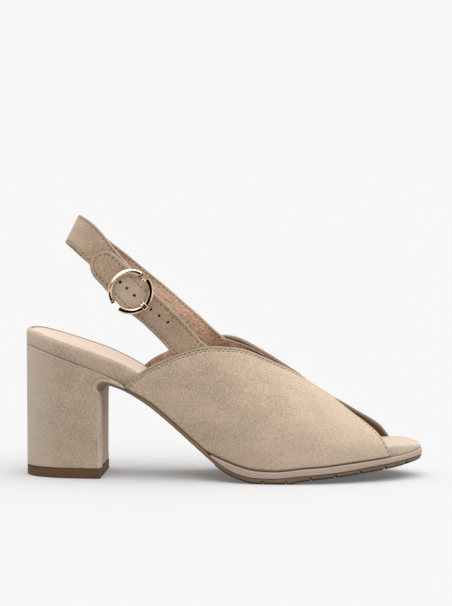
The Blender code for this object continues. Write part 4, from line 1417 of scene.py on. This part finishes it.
def strap_loops(path, half_width, edge_distance, stitch_inset):
    """Closed loops of a strap with rounded edges, a slight crown and a stitch channel."""
    centre, across, outward = path
    radius = np.minimum(STRAP_EDGE_RADIUS, STRAP_EDGE_SHARE * half_width)[:, None]
    flat = half_width[:, None] - radius
    offsets = flat * np.linspace(-1.0, 1.0, STRAP_TOP_COLUMNS)
    inside = edge_distance(offsets)
    channel = STRAP_TROUGH * bell(inside, stitch_inset, STRAP_TROUGH_WIDTH)
    crown = STRAP_CROWN * (1.0 - step_down(inside, 0.0, STRAP_CROWN_REACH))
    top = STRAP_SURFACE + (crown - channel)
    under = 0.5 * channel[:, ::-1] - STRAP_SURFACE
    quarter = np.radians(np.linspace(90.0, 0.0, STRAP_EDGE_STEPS + 1)[1:])
    turns = np.concatenate((quarter, -quarter[::-1]))
    upright = np.repeat((1.0, -1.0), STRAP_EDGE_STEPS)
    edge_offsets = flat + radius * np.cos(turns)
    edge_heights = (STRAP_SURFACE - radius) * upright + radius * np.sin(turns)
    u = np.concatenate((offsets, edge_offsets, offsets[:, ::-1], -edge_offsets[:, ::-1]), axis=1)
    h = np.concatenate((top, edge_heights, under, edge_heights[:, ::-1]), axis=1)
    return centre[:, None] + u[..., None] * across[:, None] + h[..., None] * outward[:, None]


def strap_piece(name, node, loops, pins):
    """Strap from its loops, suede outside and lining inside, with the shells of pins cut out of it."""
    face = STRAP_TOP_COLUMNS - 1
    edge = [STRAP_EDGE] * (2 * STRAP_EDGE_STEPS + 1)
    slots = [STRAP_SKIN] * face + edge + [STRAP_LINING] * face + edge
    materials = [SUEDE_STRAP, LINING, CUT_EDGE, HOLE_PAINTED_SHADE]
    strap = loft_piece(name, loops, materials, "suede", slots, [node], (True, True))
    # The cut walls of the holes and the slot take the dark painted shade
    points, faces = join_shells(pins)
    cutter = linked_object("pins", points, faces, materials, [STRAP_HOLE_SHADE] * len(faces))
    take_away(strap, cutter)
    mesh = evaluated_mesh(strap)
    strap.modifiers.clear()
    strap.data = mesh
    bpy.data.objects.remove(cutter)
    shade_soft(mesh)


def hole_pins(lift):
    """Shells of tapered pins through all holes of the buckle strap."""
    pins = []
    turn = round_turns(HOLE_SIDES)
    for along, shift, wide, narrow in HOLE_ROWS:
        centre, _, across, outward = ROUTE_AT(along)
        centre = centre + shift * across + lift(along) * outward
        ring = np.cos(turn)[:, None] * across + np.sin(turn)[:, None] * np.cross(outward, across)
        taper = (wide - narrow) / STRAP_THICKNESS
        pin = []
        for height in HOLE_CUT_SPAN:
            radius = 0.5 * (wide + narrow) + taper * height
            pin.append(centre + height * outward + radius * ring)
        pins.append(np.array(pin))
    return pins


def slot_pin():
    """Shell of the slot that the prong's eye goes through."""
    start, end = PRONG_SLOT_SPAN
    low, high = PRONG_SLOT_LIFTS
    corners = ((start, low), (end, low), (end, high), (start, high))
    sides = (-PRONG_SLOT_HALF_WIDTH, PRONG_SLOT_HALF_WIDTH)
    return buckle_points(np.array([[(along, side, lift) for along, lift in corners] for side in sides]))


def strap_stitches(path, rows, offsets, height):
    """Stitches along a line of row numbers and offsets, on the outside or the inside of a strap."""
    knots = np.arange(len(path[0]), dtype=float)
    centre, across, outward = (vectors_at(rows, knots, item) for item in path)
    points = centre + offsets[:, None] * across + height * outward
    return stitches_along(points, math.copysign(1.0, height) * outward)


def build_buckle_strap():
    """Strap with holes and a round end, which gives back its stitches."""
    lift, shift = table_curves(BUCKLE_STRAP_ROWS)
    base = BUCKLE_STRAP_ROWS[-1][0] - TIP_ROUNDING
    count = int((base - ROUTE_START) / STRAP_STEP)
    turns = np.radians(TIP_ANGLE) * np.arange(1, TIP_STEPS + 1) / TIP_STEPS
    along = np.concatenate((np.linspace(ROUTE_START, base, count), base + TIP_ROUNDING * np.sin(turns)))
    swell = SWELL_RISE * bell(along, 0.0, np.where(along < 0.0, *SWELL_LENGTHS))
    half_width = STRAP_HALF_WIDTH * np.concatenate((np.ones(count), np.cos(turns))) + swell
    path = route_path([(place, lift(place), shift(place) - rise) for place, rise in zip(along, swell)])

    def edge_distance(offsets):
        past = np.maximum(along - base, 0.0)[:, None] / TIP_ROUNDING
        return STRAP_HALF_WIDTH * (1.0 - np.hypot(offsets / STRAP_HALF_WIDTH, past))

    loops = strap_loops(path, half_width, edge_distance, STRAP_STITCH_INSET)
    strap_piece("buckle_strap_dressed", "buckle_strap", loops, hole_pins(lift))
    bend = np.linspace(-0.5 * math.pi, 0.5 * math.pi, TIP_STITCH_STEPS)[1:-1]
    round_along = base + (TIP_ROUNDING - STRAP_STITCH_INSET) * np.cos(bend)
    tip_rows = np.interp(round_along, along, np.arange(len(along), dtype=float))
    straight = np.arange(count, dtype=float)
    rows = np.concatenate((straight, tip_rows, straight[::-1]))
    offsets = np.concatenate((np.full(count, -1.0), np.sin(bend), np.ones(count)))
    offsets *= STRAP_HALF_WIDTH - STRAP_STITCH_INSET
    return [strap_stitches(path, rows, offsets, height) for height in (STRAP_SURFACE, -STRAP_SURFACE)]


def turned_end():
    """Rows of the heel strap's turned end, from its cut end round the bar: along, lift and shift."""
    knots = np.linspace(0.0, 1.0, len(FOLD_ROWS))
    shares = np.linspace(0.0, 1.0, FOLD_STEPS)
    along, lift = (smooth_curve(knots, column(FOLD_ROWS, i))(shares) for i in (0, 1))
    angle = np.radians(np.linspace(*FOLD_ARC, FOLD_ARC_STEPS + 1))
    along = np.concatenate((along, FOLD_RADIUS * np.cos(angle)))
    lift = np.concatenate((lift, BAR_LIFT + FOLD_RADIUS * np.sin(angle)))
    return [(place, height, 0.0) for place, height in zip(along, lift)]


def build_heel_strap():
    """Strap round the ankle with a slot for the prong, which gives back its stitches."""
    rows = turned_end()
    folded = len(rows)
    steps = np.linspace(0.0, ROUTE_END, int(ROUTE_END / STRAP_STEP))[1:]
    edges = [spline(column(HEEL_STRAP_ROWS, 0), column(HEEL_STRAP_ROWS, i)) for i in (1, 2)]
    upper, lower = (np.array([edge(along) for along in steps]) for edge in edges)
    rows += [(along, 0.0, shift) for along, shift in zip(steps, 0.5 * (upper + lower))]
    path = route_path(rows)
    half_width = np.concatenate((np.full(folded, STRAP_HALF_WIDTH), 0.5 * (upper - lower)))

    def edge_distance(offsets):
        return half_width[:, None] - np.abs(offsets)

    loops = strap_loops(path, half_width, edge_distance, HEEL_STITCH_INSET)
    strap_piece("heel_strap_dressed", "heel_strap", loops, [slot_pin()])
    straight = np.arange(folded, len(rows), dtype=float)
    stitches = []
    for inset, height in ((HEEL_STITCH_INSET, STRAP_SURFACE), (LINED_STITCH_INSET, -STRAP_SURFACE)):
        for side in (-1, 1):
            offsets = side * (half_width[folded:] - inset)
            stitches.append(strap_stitches(path, straight, offsets, height))
    return stitches


# Lining over the strap roots, inside the upper
ROOT_LINING_THICKNESS = 0.4
ROOT_LINING_CLEARANCE = 0.25
ROOT_LINING_DEPTH = 26.0
ROOT_LINING_COLUMNS = 61
ROOT_LINING_ANGLES = 117
ROOT_COVER = (9.4, 30.0)
ROOT_LEAST_FACING = 0.6
ROOT_FRAMES = 90

# Name, first and last angle round the upper, first and last distance along the route,
# the strap's shift across its route there, slide of the edge along the strap
ROOT_LINING_ROWS = (
    ("outer_root_lining", 20.0, 84.0, ROUTE_START, -30.0, 0.0, 0.0),
    ("inner_root_lining", 92.0, 160.0, 155.0, ROUTE_END, 3.05, -2.2),
)


def build_root_linings():
    """Lining leaves that lie on the upper's inside and bridge over the strap roots."""
    depth = RIM_REACH + np.linspace(0.0, ROOT_LINING_DEPTH, ROOT_LINING_COLUMNS)
    for name, first, last, start, end, shift, slide in ROOT_LINING_ROWS:
        angles = np.linspace(first, last, ROOT_LINING_ANGLES)
        skin, out = upper_sheet(REAR_EDGE(angles)[:, None] + depth, angles)
        frames = [ROUTE_AT(along) for along in np.linspace(start, end, ROOT_FRAMES)]
        centre, forward, across, outward = (np.array(vectors) for vectors in zip(*frames))
        line = centre + shift * across
        at, away = nearest_places(skin, line)
        height = np.sum((skin - line[at]) * outward[at], axis=-1)
        beside = np.sqrt(np.maximum(away ** 2 - height ** 2, 0.0))
        facing = np.maximum(np.sum(out * outward[at], axis=-1), ROOT_LEAST_FACING)
        under = (height + STRAP_SURFACE + ROOT_LINING_CLEARANCE) / facing
        least = UPPER_WALL + ROOT_LINING_CLEARANCE
        cover = step_down(beside, *ROOT_COVER)
        offset = least + cover * np.maximum(under - least, 0.0)
        raised = slide * cover * np.linspace(1.0, 0.0, ROOT_LINING_COLUMNS)
        near = skin - offset[..., None] * out + raised[..., None] * forward[at]
        far = near - ROOT_LINING_THICKNESS * out
        loops = np.concatenate((near, far[:, ::-1]), axis=1)
        loft_piece(name, loops, [LINING], "sock_leather", caps=(True, True))


# Buckle
BUCKLE_FRAME = ROUTE_AT(0.0)

# Cross section of the flat ring: offset outwards from its middle line, lift
RING_SECTION = (
    (0.9, -1.1),
    (1.15, -0.9),
    (1.25, -0.5),
    (1.25, 0.0),
    (1.2, 0.18),
    (0.8, 0.6),
    (0.68, 0.68),
    (-0.68, 1.02),
    (-0.82, 1.0),
    (-1.2, 0.68),
    (-1.25, 0.5),
    (-1.25, -0.5),
    (-1.15, -0.9),
    (-0.9, -1.1),
)
FRONT_BREADTH = 1.4
FRONT_LONGER = 1.0
REAR_SHORTER = 1.4
RING_STEPS = 72
LEG_RADIUS = 0.75
LEG_STEPS = 24
LEG_DROPS = (0.9, 3.0, 5.6, 7.1)
LEG_BACK = 0.9
LEG_ACROSS = 11.0
FOOT_HALF_LENGTH = 0.95
FOOT_HALF_WIDTH = 1.1
FOOT_LIFTS = (-1.7, -1.55, 0.05, 0.2)
FOOT_SHRINK = 0.85
FOOT_AHEAD = -0.55
BAR_OVERRUN = 0.6
BAR_RINGS = 5

# Prong after its eye: along, lift, half width across, half height
PRONG_ROWS = (
    (-2.4, -0.35, 0.65, 0.65),
    (-7.0, -0.4, 0.65, 0.65),
    (-8.3, 0.35, 0.65, 0.65),
    (-8.8, 2.2, 0.65, 0.65),
    (-9.0, 4.4, 0.8, 0.6),
    (-9.1, 6.2, 1.3, 0.55),
    (-9.5, 7.05, 1.45, 0.55),
    (-10.3, 7.35, 1.5, 0.6),
    (-12.0, 7.35, 1.5, 0.6),
    (-12.7, 7.15, 1.45, 0.55),
    (-13.0, 6.8, 1.35, 0.4),
)
PRONG_SQUARENESS = 0.75
PRONG_GROOVE = 0.45
PRONG_GROOVE_WIDTH = 0.35
PRONG_EYE_HALF_ANGLE = 100.0
PRONG_EYE_STEPS = 20
PRONG_RADIUS = 0.65
PRONG_STEPS = 110
WIRE_SIDES = 32
X_AXIS, Y_AXIS, Z_AXIS = np.eye(3)


def buckle_points(local):
    """Points given in the buckle's own axes, for an array."""
    centre, forward, side, outward = BUCKLE_FRAME
    return centre + local[..., :1] * forward + local[..., 1:2] * side + local[..., 2:] * outward


def smooth_path(rows, count):
    """Evenly stepped rows through given ones, which hold a point, a half width and a half height."""
    rows = np.array(rows, dtype=float)
    run = run_along(rows[:, :3])
    steps = np.linspace(0.0, run[-1], count)
    return np.stack([smooth_curve(run, values)(steps) for values in rows.T], axis=-1)


def round_loops(rows, beside, squareness=1.0, groove=0.0):
    """Loops of an oval or squarish wire along rows of a path, with a groove along its middle."""
    path = rows[:, :3]
    up = np.cross(unit(np.gradient(path, axis=0)), beside)
    turn = round_turns(WIRE_SIDES)
    side = np.sign(np.cos(turn)) * np.abs(np.cos(turn)) ** squareness
    rise = np.sign(np.sin(turn)) * np.abs(np.sin(turn)) ** squareness
    rise *= 1.0 - groove * bell(side, 0.0, PRONG_GROOVE_WIDTH)
    flat = rows[:, 3:4, None] * side[None, :, None] * beside
    high = rows[:, 4:5, None] * rise[None, :, None] * up[:, None]
    return path[:, None] + flat + high


def ring_loops(side):
    """Loops of one half of the ring, in the buckle's own axes."""
    gap_angle = math.asin(ARC_GAP_HALF / RING_RADIUS)
    shorter = REAR_SHORTER / RING_RADIUS if side > 0 else 0.0
    longer = FRONT_LONGER / RING_RADIUS if side < 0 else 0.0
    angle = np.linspace(gap_angle + shorter - longer, math.pi - gap_angle - shorter, RING_STEPS + 1)
    radial = np.stack((side * np.sin(angle), np.cos(angle), np.zeros_like(angle)), axis=-1)
    section = np.array(RING_SECTION)
    if side < 0:
        section[section[:, 0] < 0.0, 0] *= FRONT_BREADTH
    reach = (RING_RADIUS + section[:, 0])[None, :, None] * radial[:, None]
    return reach + (RING_LIFT + section[:, 1])[None, :, None] * Z_AXIS


def leg_loops(side, end):
    """Loops of a leg from one end of a half ring down to the bar's end."""
    thickness = (LEG_RADIUS, LEG_RADIUS)
    rows = []
    for drop in LEG_DROPS:
        across = LEG_ACROSS + (BAR_END - LEG_ACROSS) * drop / (RING_LIFT - BAR_LIFT)
        rows.append((side * (ARC_GAP_HALF + LEG_BACK), end * across, RING_LIFT - drop, *thickness))
    rows.append((0.0, end * BAR_END, BAR_LIFT, *thickness))
    return round_loops(smooth_path(rows, LEG_STEPS), Y_AXIS)


def foot_loops(end):
    """Loops of the square foot at one end of the rear half ring."""
    angle = math.asin(ARC_GAP_HALF / RING_RADIUS) - FOOT_AHEAD / RING_RADIUS
    radial = np.array((math.sin(angle), end * math.cos(angle), 0.0))
    tangent = np.array((math.cos(angle), -end * math.sin(angle), 0.0))
    rows = []
    for lift, shrink in zip(FOOT_LIFTS, (FOOT_SHRINK, 1.0, 1.0, FOOT_SHRINK)):
        centre = RING_RADIUS * radial + (RING_LIFT + lift) * Z_AXIS
        corners = []
        for along, across in ((-1, -1), (1, -1), (1, 1), (-1, 1)):
            reach = along * FOOT_HALF_LENGTH * tangent + across * FOOT_HALF_WIDTH * radial
            corners.append(centre + shrink * reach)
        rows.append(corners)
    return np.array(rows)


def bar_loops():
    """Loops of the bar that carries the heel strap's loop."""
    end = BAR_END + BAR_OVERRUN
    rows = [(0.0, across, BAR_LIFT, BAR_RADIUS, BAR_RADIUS) for across in np.linspace(-end, end, BAR_RINGS)]
    return round_loops(np.array(rows), X_AXIS)


def build_buckle():
    """Ring of two arcs with its bar, feet and legs."""
    shells = [ring_loops(1), ring_loops(-1), bar_loops(), foot_loops(1), foot_loops(-1)]
    shells += [leg_loops(side, end) for side in (-1, 1) for end in (-1, 1)]
    points, faces = join_shells([buckle_points(loops) for loops in shells])
    add_piece("buckle_ring", points, faces, [METAL], "buckle_metal", nodes=["buckle_frame"])


def build_prong():
    """Prong from its eye round the bar to its flat end on the ring."""
    rows = []
    half_angle = math.radians(PRONG_EYE_HALF_ANGLE)
    for angle in np.linspace(-half_angle, half_angle, PRONG_EYE_STEPS + 1):
        along = PRONG_EYE_RADIUS * math.cos(angle)
        lift = BAR_LIFT + PRONG_EYE_RADIUS * math.sin(angle)
        rows.append((along, 0.0, lift, PRONG_RADIUS, PRONG_RADIUS))
    for along, lift, width, height in PRONG_ROWS:
        rows.append((along, 0.0, lift, width, height))
    loops = round_loops(smooth_path(rows, PRONG_STEPS), Y_AXIS, PRONG_SQUARENESS, PRONG_GROOVE)
    loft_piece("prong_dressed", buckle_points(loops), [METAL], "buckle_metal", nodes=["buckle_prong"],
               caps=(True, True))


# Light and camera
FLOOR_SIZE = 12.0
FLOOR_TONE = 0.443
FLOOR_GLOW = 0.12
SUN_ENERGY = 3.8
SUN_ANGLE = 80.0
SUN_FROM = (0.18, -0.27, 0.95)
BACK_STRENGTH = 0.93
FRONT_STRENGTH = 0.3
FRONT_FADE = (-0.5, 0.1)
WHITE = (1.0, 1.0, 1.0, 1.0)
ORIGIN = (0.0, 0.0, 0.0)
LEVEL = (0.0, 0.0, 0.0)

# Cards seen only in the polished metal: size in metres, direction from the buckle, distance, brightness
CARD_ROWS = (
    (0.085, (0.40, -0.86, -0.42), 0.12, 0.0),
    (0.085, (0.46, -0.86, 0.18), 0.12, 0.0),
    (0.085, (-0.20, -0.86, -0.48), 0.12, 0.0),
    (0.1, (0.04, -1.0, -0.06), 0.5, 1.5),
    (0.9, (0.5, -0.82, 0.75), 1.0, 0.0),
    (0.2, (-0.75, -0.75, -0.62), 0.2, 0.0),
    (0.5, (-0.3, -0.85, 0.42), 1.0, 2.2),
)


def aimed(direction):
    """Turn that points an object's own -Z along a direction."""
    return Vector(direction).to_track_quat("-Z", "Y").to_euler()


def studio_object(name, data, place, turn):
    """Sheet, lamp or camera of the studio, in metres."""
    item = bpy.data.objects.new(name, data)
    item.location = place
    item.rotation_euler = turn
    bpy.context.scene.collection.objects.link(item)
    return item


def flat_card(name, size, place, turn, tone, glow):
    """Square dull sheet of a grey tone, which gives off some light itself."""
    half = 0.5 * size
    corners = [(-half, -half, 0.0), (half, -half, 0.0), (half, half, 0.0), (-half, half, 0.0)]
    mesh = bpy.data.meshes.new(name)
    mesh.from_pydata(corners, [], [(0, 1, 2, 3)])
    material, _, _ = start_material(name, (tone,) * 3, roughness=1.0, specular_ior_level=0.0,
                                    emission_color=WHITE, emission_strength=glow)
    mesh.materials.append(material)
    card = studio_object(name, mesh, place, turn)
    return card


def build_cards():
    """Bright and dark studio sheets for the buckle's reflections."""
    buckle = Vector(BUCKLE_FRAME[0] * MILLIMETRE)
    for index, (size, direction, distance, brightness) in enumerate(CARD_ROWS):
        away = Vector(direction).normalized()
        card = flat_card(f"card_{index + 1}", size, buckle + distance * away, aimed(away), 0.0, brightness)
        card.visible_camera = False
        card.visible_diffuse = False
        card.visible_shadow = False


def build_world():
    """Pale surroundings behind and above, dimmer ones in front."""
    world = bpy.data.worlds.new("studio")
    bpy.context.scene.world = world
    world.use_nodes = True
    tree = world.node_tree
    back = tree.nodes["Background"]
    back.inputs["Color"].default_value = WHITE
    direction = add_node(tree, "TexCoord").outputs["Generated"]
    ahead = add_node(tree, "SeparateXYZ", vector=direction).outputs["Y"]
    strength = span(tree, ahead, *FRONT_FADE, FRONT_STRENGTH, BACK_STRENGTH)
    tree.links.new(strength, back.inputs["Strength"])


def build_sun():
    """Wide soft light from above."""
    lamp = bpy.data.lights.new("sun", "SUN")
    lamp.energy = SUN_ENERGY
    lamp.angle = math.radians(SUN_ANGLE)
    studio_object("sun", lamp, ORIGIN, aimed(-Vector(SUN_FROM)))


def build_camera():
    """Camera of the photograph's view."""
    lens = bpy.data.cameras.new("camera")
    lens.lens = CAMERA_LENS
    lens.sensor_width = CAMERA_SENSOR
    turn = aimed(Vector(CAMERA_AIM) - Vector(CAMERA_PLACE))
    bpy.context.scene.camera = studio_object("camera", lens, CAMERA_PLACE, turn)


# The shoe, then the studio round it
build_outsole()
build_platform()
build_footbed()
build_sock()
build_heel()
build_top_lift()
build_upper()
build_root_linings()
stitch_piece("strap_stitches", build_buckle_strap() + build_heel_strap())
build_buckle()
build_prong()
bpy.context.scene.view_settings.view_transform = "Standard"
flat_card("floor", FLOOR_SIZE, ORIGIN, LEVEL, FLOOR_TONE, FLOOR_GLOW)
build_world()
build_cards()
build_sun()
build_camera()
